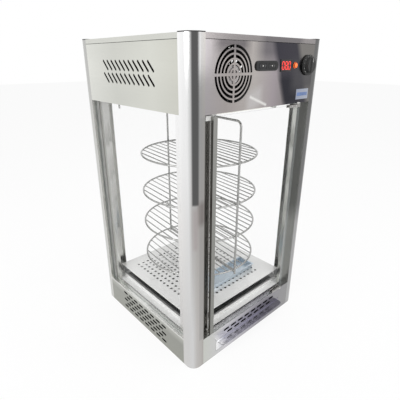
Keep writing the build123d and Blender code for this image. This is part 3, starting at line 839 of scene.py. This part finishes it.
TUBE = Lens("frosted_tube", (0.85, 0.85, 0.8), (1.0, 0.97, 0.9), 0.3)


# Modelling


def front_face(middle: Vector, normal: Vector) -> bool:
    """Whether a face looks to the front."""
    return normal.y < -0.9


def any_face(middle: Vector, normal: Vector) -> bool:
    """Every face."""
    return True


class Bench:
    """Mesh work by Blender's own tools."""

    @staticmethod
    def clear() -> None:
        """Deselects everything."""
        bpy.ops.object.select_all(action="DESELECT")

    @staticmethod
    def pick(obj: bpy.types.Object) -> None:
        """Makes one object the only one selected, and the active one.

        Args:
            obj: The object.
        """
        Bench.clear()
        obj.select_set(True)
        bpy.context.view_layer.objects.active = obj

    @staticmethod
    @contextmanager
    def editing(obj: bpy.types.Object, test: Callable[[Vector, Vector], bool]) -> Iterator[None]:
        """Opens edit mode with the faces selected that pass a test.

        Args:
            obj: The object that is edited.
            test: Says whether a face is selected, from its middle and its normal.

        Returns:
            Nothing; the work is done inside the with block.
        """
        Bench.pick(obj)
        bpy.ops.object.mode_set(mode="EDIT")
        bpy.ops.mesh.select_mode(type="FACE")
        bpy.ops.mesh.select_all(action="DESELECT")
        bpy.ops.object.mode_set(mode="OBJECT")
        for face in obj.data.polygons:
            face.select = test(face.center, face.normal)
        bpy.ops.object.mode_set(mode="EDIT")
        yield
        bpy.ops.object.mode_set(mode="OBJECT")

    @staticmethod
    def settle(scale: Place = (1.0, 1.0, 1.0)) -> bpy.types.Object:
        """Puts the place, turn and size of the active object into its mesh.

        Args:
            scale: Its size along each axis.

        Returns:
            The object, at the origin.
        """
        obj = bpy.context.active_object
        obj.scale = scale
        Bench.pick(obj)
        bpy.ops.object.transform_apply(location=True, rotation=True, scale=True)
        return obj

    @staticmethod
    def cylinder(radius: float, length: float, place: Place, axis: Axis, sides: int = 32) -> bpy.types.Object:
        """A cylinder along an axis with its middle at a place.

        Args:
            radius: Its radius in metres.
            length: Its length in metres.
            place: Its middle.
            axis: The direction it runs in, X or Y.
            sides: How many flats make its round.

        Returns:
            The new object.
        """
        Bench.clear()
        bpy.ops.mesh.primitive_cylinder_add(
            vertices=sides,
            radius=radius,
            depth=length,
            location=place,
            rotation=(0.0, math.pi / 2, 0.0) if axis is Axis.X else (math.pi / 2, 0.0, 0.0),
        )
        return Bench.settle()

    @staticmethod
    def block(size: Place, place: Place) -> bpy.types.Object:
        """A box.

        Args:
            size: Its size along each axis.
            place: Its middle.

        Returns:
            The new object.
        """
        Bench.clear()
        bpy.ops.mesh.primitive_cube_add(size=1.0, location=place)
        return Bench.settle(size)

    @staticmethod
    def hoop(radius: float, wire: float, place: Place, sides: tuple[int, int]) -> bpy.types.Object:
        """A round ring about a line along Y.

        Args:
            radius: The radius of its middle line.
            wire: The radius of its section.
            place: Its middle.
            sides: How many flats it has round the ring and round its section.

        Returns:
            The new object.
        """
        Bench.clear()
        bpy.ops.mesh.primitive_torus_add(
            location=place,
            rotation=(math.pi / 2, 0.0, 0.0),
            major_radius=radius,
            minor_radius=wire,
            major_segments=sides[0],
            minor_segments=sides[1],
        )
        return Bench.settle()

    @staticmethod
    def modify(obj: bpy.types.Object, kind: str, **settings: object) -> None:
        """Adds a modifier and applies it.

        Args:
            obj: The object that is changed.
            kind: The modifier's type.
            settings: Its settings by name.
        """
        Bench.pick(obj)
        modifier = obj.modifiers.new(kind.lower(), kind)
        for key, value in settings.items():
            setattr(modifier, key, value)
        bpy.ops.object.modifier_apply(modifier=modifier.name)

    @staticmethod
    def round_edges(obj: bpy.types.Object, width: float, segments: int = 2) -> None:
        """Rounds the sharp edges."""
        Bench.modify(obj, "BEVEL", width=width, segments=segments, limit_method="ANGLE")

    @staticmethod
    def cut(obj: bpy.types.Object, cutter: bpy.types.Object) -> None:
        """Takes one object out of another."""
        Bench.modify(obj, "BOOLEAN", operation="DIFFERENCE", object=cutter, solver="EXACT")
        bpy.data.objects.remove(cutter)

    @staticmethod
    def join(objects: list[bpy.types.Object]) -> bpy.types.Object:
        """Makes several objects one.

        Args:
            objects: The objects; the first one stays.

        Returns:
            The joined object.
        """
        Bench.pick(objects[0])
        for obj in objects:
            obj.select_set(True)
        bpy.ops.object.join()
        return bpy.context.active_object

    @staticmethod
    def copy(obj: bpy.types.Object, matrix: Matrix) -> bpy.types.Object:
        """Copies an object with its own mesh.

        Args:
            obj: The object.
            matrix: Where the copy goes.

        Returns:
            The copy.
        """
        twin = obj.copy()
        twin.data = obj.data.copy()
        twin.data.transform(matrix)
        bpy.context.scene.collection.objects.link(twin)
        return twin

    @staticmethod
    def scatter(one: bpy.types.Object, places: Iterable[Matrix]) -> bpy.types.Object:
        """Copies an object to several places, and takes the first one away.

        Args:
            one: The object, at the origin.
            places: Where the copies go.

        Returns:
            The copies as one object.
        """
        copies = [Bench.copy(one, place) for place in places]
        bpy.data.objects.remove(one)
        return Bench.join(copies)

    @staticmethod
    def around(centre: Place, turns: Iterable[float]) -> list[Matrix]:
        """Turns about the line along Y through a place, for things made at the origin."""
        return [Matrix.Translation(centre) @ Matrix.Rotation(turn, 4, "Y") for turn in turns]

    @staticmethod
    def smooth(obj: bpy.types.Object, degrees: float = 35.0) -> None:
        """Shades smooth where the surface turns by less than an angle."""
        Bench.pick(obj)
        bpy.ops.object.shade_smooth_by_angle(angle=math.radians(degrees))


@dataclass(frozen=True)
class ScrewHead:
    """A low round screw head with a cross recess, facing along -Y with its seat at the origin."""

    radius: float
    height: float
    recess: float = 0.55
    arm: float = 0.24
    deep: float = 0.9
    rounding: float = 0.6

    def make(self) -> bpy.types.Object:
        """Models one head.

        Returns:
            The head, to be copied into place.
        """
        head = Bench.cylinder(self.radius, self.height, (0.0, -self.height / 2, 0.0), Axis.Y, 24)
        with Bench.editing(head, front_face):
            bpy.ops.mesh.bevel(offset=self.height * self.rounding, segments=3, affect="EDGES")
        reach, arm, deep = self.radius * self.recess * 2, self.radius * self.arm, self.height * self.deep
        for size in ((arm, deep, reach), (reach, deep, arm)):
            Bench.cut(head, Bench.block(size, (0.0, -self.height, 0.0)))
        return head


class Numeral(Enum):
    """The lit bars of each figure, from the top bar clockwise, the middle bar last."""

    ZERO = "abcdef"
    EIGHT = "abcdefg"


@dataclass(frozen=True)
class SegmentFigures:
    """A row of seven-bar figures that faces -Y."""

    figures: tuple[Numeral, ...] = (Numeral.ZERO, Numeral.EIGHT, Numeral.ZERO)
    width: float = 0.0078
    height: float = 0.0165
    pitch: float = 0.0122
    bar: float = 0.0019
    gap: float = 0.0004
    lift: float = 0.0003
    point_after: int = 1
    point_share: float = 0.6

    def bars(self) -> dict[str, Matrix]:
        """Where each bar of a figure goes.

        Returns:
            A matrix for each bar, made for an upright bar at the origin.
        """
        side, half, level = self.width / 2, self.height / 4, self.height / 2
        flat = Matrix.Rotation(math.pi / 2, 4, "Y")
        places = {"b": (side, half), "c": (side, -half), "e": (-side, -half), "f": (-side, half)}
        found = {name: Matrix.Translation((x, 0.0, z)) for name, (x, z) in places.items()}
        for name, z in {"a": level, "g": 0.0, "d": -level}.items():
            found[name] = Matrix.Translation((0.0, 0.0, z)) @ flat
        return found

    def one_bar(self, length: float) -> bpy.types.Object:
        """Models one upright six-sided bar."""
        Bench.cylinder(1.0, self.lift, (0.0, 0.0, 0.0), Axis.Y, 6)
        return Bench.settle((self.bar / 2 / math.cos(math.pi / 6), 1.0, (length - self.gap) / 2))

    def make(self, centre: Place) -> bpy.types.Object:
        """Models the row.

        Args:
            centre: The middle of the row.

        Returns:
            The figures as one object.
        """
        tall, wide = self.one_bar(self.height / 2), self.one_bar(self.width)
        lit = []
        first = -self.pitch * (len(self.figures) - 1) / 2
        places = self.bars()
        for index, figure in enumerate(self.figures):
            move = Matrix.Translation((centre[0] + first + index * self.pitch, centre[1], centre[2]))
            for name in figure.value:
                lit.append(Bench.copy(wide if name in "adg" else tall, move @ places[name]))
        point_x = centre[0] + first + (self.point_after + 0.5) * self.pitch
        point = (point_x, centre[1], centre[2] - self.height / 2)
        lit.append(Bench.cylinder(self.bar * self.point_share, self.lift, point, Axis.Y, 12))
        for pattern in (tall, wide):
            bpy.data.objects.remove(pattern)
        return Bench.join(lit)


# Sub-assemblies


@dataclass(frozen=True)
class Softbox:
    """A square area lamp, with its side in metres and its power in watts."""

    name: str
    place: Place
    size: float
    power: float


@dataclass
class Studio:
    """The camera, floor, world and lamps."""

    eye: Place = (-0.6635, -0.7337, 0.7626)
    down: float = 0.3874
    turn: float = -0.7378
    roll: float = 0.002
    lens: float = 31.09
    sensor: float = 36.0
    floor_size: float = 24.0
    floor_drop: float = 0.0004
    shown_light: float = 0.9
    plain_light: float = 0.62
    aim: Place = (0.0, 0.0, 0.4)
    softboxes: tuple[Softbox, ...] = (
        Softbox("softbox_left", (-2.0, -0.3, 1.5), 1.6, 20.0),
        Softbox("softbox_top", (0.2, -0.4, 2.6), 2.0, 22.0),
        Softbox("softbox_front", (0.9, -2.2, 1.3), 1.4, 9.0),
    )

    def camera(self) -> None:
        """Puts the camera where the photograph was taken from."""
        data = bpy.data.cameras.new("camera")
        data.lens = self.lens
        data.sensor_width = self.sensor
        camera = bpy.data.objects.new("camera", data)
        aim = Matrix.Rotation(self.turn, 4, "Z") @ Matrix.Rotation(math.pi / 2 - self.down, 4, "X")
        camera.matrix_world = Matrix.Translation(self.eye) @ aim @ Matrix.Rotation(self.roll, 4, "Z")
        bpy.context.scene.collection.objects.link(camera)
        bpy.context.scene.camera = camera

    def floor(self) -> None:
        """Lays the pale floor, which still takes the shadow of the case."""
        Bench.clear()
        bpy.ops.mesh.primitive_plane_add(size=self.floor_size, location=(0.0, 0.0, -self.floor_drop))
        floor = bpy.context.active_object
        floor.name = "studio_floor"
        sheet = ShaderSheet("studio_floor")
        sheet.set(Base_Color=(0.9, 0.9, 0.9), Roughness=0.9, Specular_IOR_Level=0.0)
        light = sheet.node("ShaderNodeEmission", {}, {"Color": (1.0, 1.0, 1.0), "Strength": 1.0})
        both = {0: sheet.seen() * self.shown_light, 1: sheet.shader.outputs["BSDF"], 2: light.outputs[0]}
        sheet.show(sheet.node("ShaderNodeMixShader", {}, both).outputs[0])
        floor.data.materials.append(sheet.material)

    def world(self) -> None:
        """Fills the world with plain light, white where it is seen."""
        world = bpy.data.worlds.new("studio_world")
        bpy.context.scene.world = world
        sheet = NodeSheet(world)
        strength = sheet.seen() * (1.0 - self.plain_light) + self.plain_light
        background = sheet.node("ShaderNodeBackground", {}, {"Color": (1.0, 1.0, 1.0), "Strength": strength})
        sheet.node("ShaderNodeOutputWorld", {}, {"Surface": background.outputs[0]})

    def hang(self, box: Softbox) -> None:
        """Hangs a softbox so that it faces the middle of the case.

        Args:
            box: The softbox.
        """
        data = bpy.data.lights.new(box.name, "AREA")
        data.shape = "SQUARE"
        data.size = box.size
        data.energy = box.power
        lamp = bpy.data.objects.new(box.name, data)
        turn = (Vector(self.aim) - Vector(box.place)).to_track_quat("-Z", "Y").to_matrix().to_4x4()
        lamp.matrix_world = Matrix.Translation(box.place) @ turn
        bpy.context.scene.collection.objects.link(lamp)

    def set_up(self) -> None:
        """Builds the whole studio."""
        bpy.context.scene.view_settings.view_transform = "Standard"
        self.camera()
        self.floor()
        self.world()
        for box in self.softboxes:
            self.hang(box)


@dataclass
class SubAssembly:
    """A group of CAD nodes and dressing pieces that belong together."""

    nodes: dict[str, bpy.types.Object]
    ray_start: float = -0.4

    def build(self) -> None:
        """Dresses the nodes and adds the pieces."""
        raise NotImplementedError

    def dress(self, finish: Finish, *names: str) -> None:
        """Gives CAD nodes a finish.

        Args:
            finish: The finish.
            names: The nodes.
        """
        for name in names:
            slots = self.nodes[name].data.materials
            slots.clear()
            slots.append(finish.material())
            LOG.info("node %s: %s", name, finish.name)

    def add(self, obj: bpy.types.Object, name: str, body: Body, finish: Finish, slot: str) -> None:
        """Takes a finished object in as a piece.

        Args:
            obj: The object, settled in place.
            name: The piece's name.
            body: The CAD body it rides on.
            finish: Its finish.
            slot: The record's material slot; not used.
        """
        obj.name = name
        obj.data.name = name
        obj.data.materials.clear()
        obj.data.materials.append(finish.material())
        Bench.smooth(obj)
        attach(obj, body.value)
        LOG.info("piece %s: %d faces, rides on %s", name, len(obj.data.polygons), body.value)

    def face_of(self, name: str, x: float, z: float) -> float:
        """Where a line straight back first meets a CAD node.

        Args:
            name: The node.
            x: How far to the right the line runs.
            z: How high it runs.

        Returns:
            The y where it meets, or the front of the node's box where it misses.
        """
        hit, place, _, _ = self.nodes[name].ray_cast((x, self.ray_start, z), BACK)
        return place.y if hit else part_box(name)[0].y


@dataclass
class CaseShell(SubAssembly):
    """The posts, panels, lid and back screws."""

    screw: ScrewHead = ScrewHead(0.004, 0.002)
    screw_spread: float = 0.02

    def build(self) -> None:
        """Dresses the shell."""
        self.dress(POST_NEAR, "post_front_left")
        self.dress(POST_BACK_LEFT, "post_back_left", "post_back_right")
        self.dress(POST_RIGHT, "post_front_right")
        self.dress(BLACK, "post_caps")
        self.dress(TOP_SHEET, "top_cover")
        self.dress(HEADER_LEFT, "header_panel_left")
        self.dress(HEADER_FRONT, "header_panel_front")
        self.dress(SHEET, "header_panel_back", "base_panel_back")
        self.dress(DECK_SHEET, "header_deck")
        self.dress(BOTTOM_SHEET, "bottom_plate")
        self.dress(SIDE_SHEET, "header_panel_right", "base_panel_right")
        self.dress(BASE_LEFT, "base_panel_left")
        self.dress(BASE_FRONT, "base_panel_front")
        self.dress(TURNED, "back_screws")
        self.back_heads()

    def back_heads(self) -> None:
        """Gives the screws of the back panels their round heads with cross recesses."""
        groups: list[list[Vector]] = []
        for vertex in self.nodes["back_screws"].data.vertices:
            place = vertex.co.copy()
            near = next((group for group in groups if (group[0] - place).length < self.screw_spread), None)
            if near is None:
                groups.append([place])
            else:
                near.append(place)
        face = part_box("back_screws")[1].y - self.screw.height
        turn = Matrix.Rotation(math.pi, 4, "Z")
        places = []
        for group in groups:
            low, high = (Vector([pick(part) for part in zip(*group)]) for pick in (min, max))
            places.append(Matrix.Translation(((low.x + high.x) / 2, face, (low.z + high.z) / 2)) @ turn)
        heads = Bench.scatter(self.screw.make(), places)
        self.add(heads, "back_screw_heads", Body.CASE, TURNED, "steel_turned")
        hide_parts("back_screws")


@dataclass
class Glazing(SubAssembly):
    """The three fixed panes with their seals."""

    def build(self) -> None:
        """Dresses the glazing."""
        self.dress(GLASS_SIDE, "glass_left", "glass_right")
        self.dress(GLASS_BACK, "glass_back")
        self.dress(SILICONE, "glass_seals")


@dataclass
class Door(SubAssembly):
    """The frameless door with its edge trim and pivot clamps."""

    screw: ScrewHead = ScrewHead(0.002, 0.0009)
    screw_inset: float = 0.0035
    screw_shares: tuple[float, ...] = (0.2, 0.6)

    def build(self) -> None:
        """Dresses the door and adds the clamp screws."""
        self.dress(GLASS_DOOR, "door_glass")
        self.dress(TRIM_STEEL, "door_edge_trim")
        self.dress(CLAMP_STEEL, "door_clamp_top", "door_clamp_bottom")
        self.dress(WHITE, "door_rest", "pivot_bushes")
        places = []
        for clamp in ("door_clamp_top", "door_clamp_bottom"):
            low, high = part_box(clamp)
            level = high.z - self.screw_inset if clamp.endswith("bottom") else low.z + self.screw_inset
            for share in self.screw_shares:
                places.append(Matrix.Translation((low.x + share * (high.x - low.x), low.y, level)))
        self.add(Bench.scatter(self.screw.make(), places), "clamp_screws", Body.DOOR, TURNED, "steel_turned")


@dataclass
class WarmingBase(SubAssembly):
    """The chamber floor, heater, water pan and crumb tray."""

    def build(self) -> None:
        """Dresses the base."""
        self.dress(FLOOR_SHEET, "chamber_floor")
        self.dress(COVER_SHEET, "heater_cover")
        self.dress(ELEMENT, "heating_element")
        self.dress(TURNED, "element_clips")
        self.dress(PAN_SHEET, "water_pan")
        self.dress(TRAY_SHEET, "crumb_tray")
        self.dress(RUNNER_SHEET, "tray_runners")
        self.dress(MOTOR_PAINT, "drive_motor")
        self.dress(WHITE, "drive_bush")
        self.dress(TURNED, "drive_shaft", "drive_hub")


@dataclass
class TurningRack(SubAssembly):
    """The wire rack with its welds."""

    shelves: int = 4
    weld_reach: float = 0.1702
    turn: float = math.radians(-95.7)
    ring_levels: tuple[float, ...] = (0.196, 0.304, 0.402, 0.514)
    bead_radius: float = 0.0034
    bead_squash: float = 0.7

    def build(self) -> None:
        """Dresses the rack and adds the weld beads where the rings meet the rods."""
        self.dress(WIRE, "rack_frame", *(f"rack_shelf_{number}" for number in range(1, self.shelves + 1)))
        self.dress(WIRE, "rack_socket")
        Bench.clear()
        bpy.ops.mesh.primitive_ico_sphere_add(subdivisions=2, radius=self.bead_radius)
        bead = bpy.context.active_object
        with Bench.editing(bead, any_face):
            bpy.ops.transform.resize(value=(1.0, 1.0, self.bead_squash))
            bpy.ops.mesh.vertices_smooth(factor=0.3, repeat=1)
        places = []
        for level in self.ring_levels:
            for turn in (self.turn, self.turn + math.pi):
                place = (self.weld_reach * math.cos(turn), self.weld_reach * math.sin(turn), level)
                places.append(Matrix.Translation(place))
        self.add(Bench.scatter(bead, places), "rack_welds", Body.RACK, WIRE, "chrome_wire")


@dataclass
class FanUnit(SubAssembly):
    """The header fan behind its slotted grille."""

    disc_radius: float = 0.0185
    disc_height: float = 0.0006
    rim: float = 0.0012
    step: tuple[float, float] = (0.0006, -0.0002)

    def build(self) -> None:
        """Dresses the fan and adds the blank foil disc on its hub."""
        self.dress(BLACK, "fan_frame")
        self.dress(ROTOR_BLACK, "fan_rotor")
        self.dress(DARK_ZINC, "fan_studs")
        low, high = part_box("fan_frame")
        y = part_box("fan_rotor")[0].y - self.disc_height / 2
        centre = ((low.x + high.x) / 2, y, (low.z + high.z) / 2)
        disc = Bench.cylinder(self.disc_radius, self.disc_height, centre, Axis.Y, 48)
        with Bench.editing(disc, front_face):
            bpy.ops.mesh.inset(thickness=self.rim, depth=0.0)
            bpy.ops.mesh.inset(thickness=self.step[0], depth=self.step[1])
        self.add(disc, "fan_hub_disc", Body.ROTOR, FAN_DISC, "label_silver")


@dataclass
class Control(SubAssembly):
    """One of the controls, which share a level on the header."""

    level: float = 0.749


@dataclass
class RockerKeys(Control):
    """The two rocker keys in their bezel."""

    places: tuple[float, float] = (-0.0185, 0.0145)
    dot_radius: float = 0.0014
    dot_height: float = 0.0004
    dot_lift: float = 0.0001
    dot_rounding: float = 0.00012
    mark_reach: float = 0.0085
    mark_lift: float = 0.00005
    stroke: Place = (0.0005, 0.0002, 0.0036)
    ring_radius: float = 0.0016
    ring_wire: float = 0.00022

    def build(self) -> None:
        """Dresses the keys and marks each one."""
        self.dress(BLACK_GLOSS, "switch_bezel", "rocker_light", "rocker_rack")
        self.mark(self.places[0], "rocker_light", Body.LIGHT_KEY)
        self.mark(self.places[1], "rocker_rack", Body.RACK_KEY)

    def mark(self, x: float, node: str, body: Body) -> None:
        """Adds the pale dot and the on and off marks of one key.

        Args:
            x: The middle of the key.
            node: Its CAD node.
            body: The body that it is.
        """
        face = self.face_of(node, x, self.level)
        place = (x, face - self.dot_lift, self.level)
        dot = Bench.cylinder(self.dot_radius, self.dot_height, place, Axis.Y, 20)
        with Bench.editing(dot, front_face):
            bpy.ops.mesh.bevel(offset=self.dot_rounding, segments=2, affect="EDGES")
        self.add(dot, f"{node}_dot", body, PRINT, "white_plastic")
        left, right = (
            (end, self.face_of(node, end, self.level) - self.mark_lift, self.level)
            for end in (x - self.mark_reach, x + self.mark_reach)
        )
        stroke = Bench.block(self.stroke, left)
        ring = Bench.hoop(self.ring_radius, self.ring_wire, right, (24, 6))
        self.add(Bench.join([stroke, ring]), f"{node}_marks", body, GREY_PRINT, "white_plastic")


@dataclass
class Display(Control):
    """The temperature display."""

    x: float = 0.071
    figures: SegmentFigures = SegmentFigures()
    figure_lift: float = 0.0002
    frame_margin: float = 0.0015
    frame_lap: float = 0.0007
    frame_depth: float = 0.0014
    hole_depth: float = 0.01
    frame_seat: float = 0.0003
    frame_rounding: float = 0.0003

    def build(self) -> None:
        """Dresses the display, and adds its figures and its thin frame."""
        self.dress(BLACK, "display_module")
        self.dress(DISPLAY, "display_window")
        low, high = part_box("display_window")
        figures = self.figures.make((self.x, low.y - self.figure_lift, self.level))
        self.add(figures, "display_figures", Body.CASE, DIGITS, "display_red")
        outer, inner = (
            (high.x - low.x + 2 * grown, depth, high.z - low.z + 2 * grown)
            for grown, depth in ((self.frame_margin, self.frame_depth), (-self.frame_lap, self.hole_depth))
        )
        frame = Bench.block(outer, (self.x, low.y + self.frame_seat, self.level))
        Bench.cut(frame, Bench.block(inner, (self.x, low.y, self.level)))
        Bench.round_edges(frame, self.frame_rounding)
        self.add(frame, "display_frame", Body.CASE, BLACK_GLOSS, "black_plastic")


@dataclass
class PilotLamp(Control):
    """The orange pilot lamp."""

    x: float = 0.109
    lens_radius: float = 0.0052
    lens_flatness: float = 0.3
    lens_seat: float = 0.0001
    collar_wire: float = 0.0008

    def build(self) -> None:
        """Dresses the lamp, and adds its domed lens and its collar."""
        self.dress(PILOT, "pilot_lamp")
        face = self.face_of("pilot_lamp", self.x, self.level)
        Bench.clear()
        bpy.ops.mesh.primitive_uv_sphere_add(
            segments=32, ring_count=16, radius=self.lens_radius, location=(self.x, face, self.level)
        )
        lens = Bench.settle((1.0, self.lens_flatness, 1.0))
        seat = (self.x, face + self.lens_seat, self.level)
        with Bench.editing(lens, any_face):
            bpy.ops.mesh.bisect(plane_co=seat, plane_no=(0.0, 1.0, 0.0), use_fill=True, clear_outer=True)
        self.add(lens, "pilot_lens", Body.CASE, PILOT, "lamp_orange")
        low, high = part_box("pilot_lamp")
        radius = (high.x - low.x) / 2 - self.collar_wire
        collar = Bench.hoop(radius, self.collar_wire, (self.x, face + self.collar_wire, self.level), (40, 10))
        self.add(collar, "pilot_collar", Body.CASE, BLACK_GLOSS, "black_plastic")


@dataclass
class Thermostat(Control):
    """The thermostat and its knob: a skirt, a ribbed grip and a bar across it."""

    x: float = 0.163
    on_skirt: float = 0.0205
    on_grip: float = 0.012
    rib_count: int = 40
    rib_reach: float = 0.017
    rib: tuple[float, float] = (0.0012, 0.0011)
    rib_gap: float = 0.0006
    rib_rounding: float = 0.0003
    tick_count: int = 11
    tick_reach: float = 0.0212
    tick: Place = (0.0005, 0.0002, 0.002)
    tick_lift: float = 0.00008
    sweep: float = math.radians(270.0)
    pointer: Place = (0.0011, 0.0003, 0.0085)
    pointer_reach: float = 0.011
    pointer_lift: float = 0.0001
    pointer_rounding: float = 0.0001

    def build(self) -> None:
        """Dresses the thermostat and adds the ribs, the dial marks and the pointer."""
        self.dress(BLACK, "thermostat_knob", "thermostat_body")
        skirt, grip, bar = (
            self.face_of("thermostat_knob", self.x + reach, self.level)
            for reach in (self.on_skirt, self.on_grip, 0.0)
        )
        size = (self.rib[0], skirt - grip - 2 * self.rib_gap, self.rib[1])
        one = Bench.block(size, (0.0, 0.0, self.rib_reach))
        turns = [index * 2 * math.pi / self.rib_count for index in range(self.rib_count)]
        ribs = Bench.scatter(one, Bench.around((self.x, (skirt + grip) / 2, self.level), turns))
        Bench.round_edges(ribs, self.rib_rounding)
        self.add(ribs, "knob_ribs", Body.KNOB, BLACK, "black_plastic")
        one = Bench.block(self.tick, (0.0, 0.0, self.tick_reach))
        step = self.sweep / (self.tick_count - 1)
        turns = [index * step - self.sweep / 2 for index in range(self.tick_count)]
        ticks = Bench.scatter(one, Bench.around((self.x, skirt - self.tick_lift, self.level), turns))
        self.add(ticks, "knob_ticks", Body.KNOB, PRINT, "white_plastic")
        place = (self.x, bar - self.pointer_lift, self.level + self.pointer_reach)
        pointer = Bench.block(self.pointer, place)
        Bench.round_edges(pointer, self.pointer_rounding, 1)
        self.add(pointer, "knob_pointer", Body.KNOB, PRINT, "white_plastic")


@dataclass
class BlankPlate(SubAssembly):
    """The blank plate under the controls."""

    band_shares: tuple[float, float] = (0.84, 0.34)
    band_depth: float = 0.0002
    band_lift: float = 0.00005
    band_rounding: float = 0.0004

    def build(self) -> None:
        """Dresses the plate and adds its plain blue band."""
        self.dress(LABEL, "label_plate")
        low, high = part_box("label_plate")
        middle = (low + high) / 2
        wide, tall = self.band_shares
        size = ((high.x - low.x) * wide, self.band_depth, (high.z - low.z) * tall)
        band = Bench.block(size, (middle.x, low.y - self.band_lift, middle.z))
        Bench.round_edges(band, self.band_rounding)
        self.add(band, "label_band", Body.CASE, LABEL_BAND, "label_silver")


@dataclass
class Fittings(SubAssembly):
    """The chamber lamp, the probe and the mains inlet."""

    cap_length: float = 0.01
    cap_lip: float = 0.0003
    cap_rounding: float = 0.0012
    rib_count: int = 18
    rib: Place = (0.0014, 0.006, 0.0008)
    rib_inset: float = 0.0005
    rib_setback: float = 0.0045

    def build(self) -> None:
        """Dresses the fittings."""
        self.dress(TUBE, "chamber_lamp")
        self.dress(WHITE, "lamp_holders")
        self.dress(TURNED, "temperature_probe")
        self.dress(BLACK, "inlet_gland")
        self.ferrules()
        self.gland_ribs()

    def ferrules(self) -> None:
        """Adds the metal caps at the ends of the lamp tube."""
        low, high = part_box("chamber_lamp")
        middle = (low + high) / 2
        radius = (high.z - low.z) / 2 + self.cap_lip
        caps = []
        for x in (low.x + self.cap_length / 2, high.x - self.cap_length / 2):
            cap = Bench.cylinder(radius, self.cap_length, (x, middle.y, middle.z), Axis.X, 40)
            Bench.round_edges(cap, self.cap_rounding, 3)
            caps.append(cap)
        self.add(Bench.join(caps), "lamp_ferrules", Body.CASE, TURNED, "steel_turned")

    def gland_ribs(self) -> None:
        """Adds the grip ribs round the head of the inlet gland."""
        low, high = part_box("inlet_gland")
        one = Bench.block(self.rib, (0.0, 0.0, (high.x - low.x) / 2 - self.rib_inset))
        centre = ((low.x + high.x) / 2, high.y - self.rib_setback, (low.z + high.z) / 2)
        turns = [index * 2 * math.pi / self.rib_count for index in range(self.rib_count)]
        ribs = Bench.scatter(one, Bench.around(centre, turns))
        self.add(ribs, "gland_ribs", Body.CASE, BLACK, "black_plastic")


def main() -> None:
    """Loads the frame, sets up the studio and dresses each sub-assembly."""
    logging.basicConfig(level=logging.INFO, format="%(message)s")
    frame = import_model()
    Bench.clear()
    Studio().set_up()
    controls = (RockerKeys, Display, PilotLamp, Thermostat, BlankPlate)
    for kind in (CaseShell, Glazing, Door, WarmingBase, TurningRack, FanUnit, *controls, Fittings):
        kind(frame["nodes"]).build()


if __name__ == "__main__":
    main()
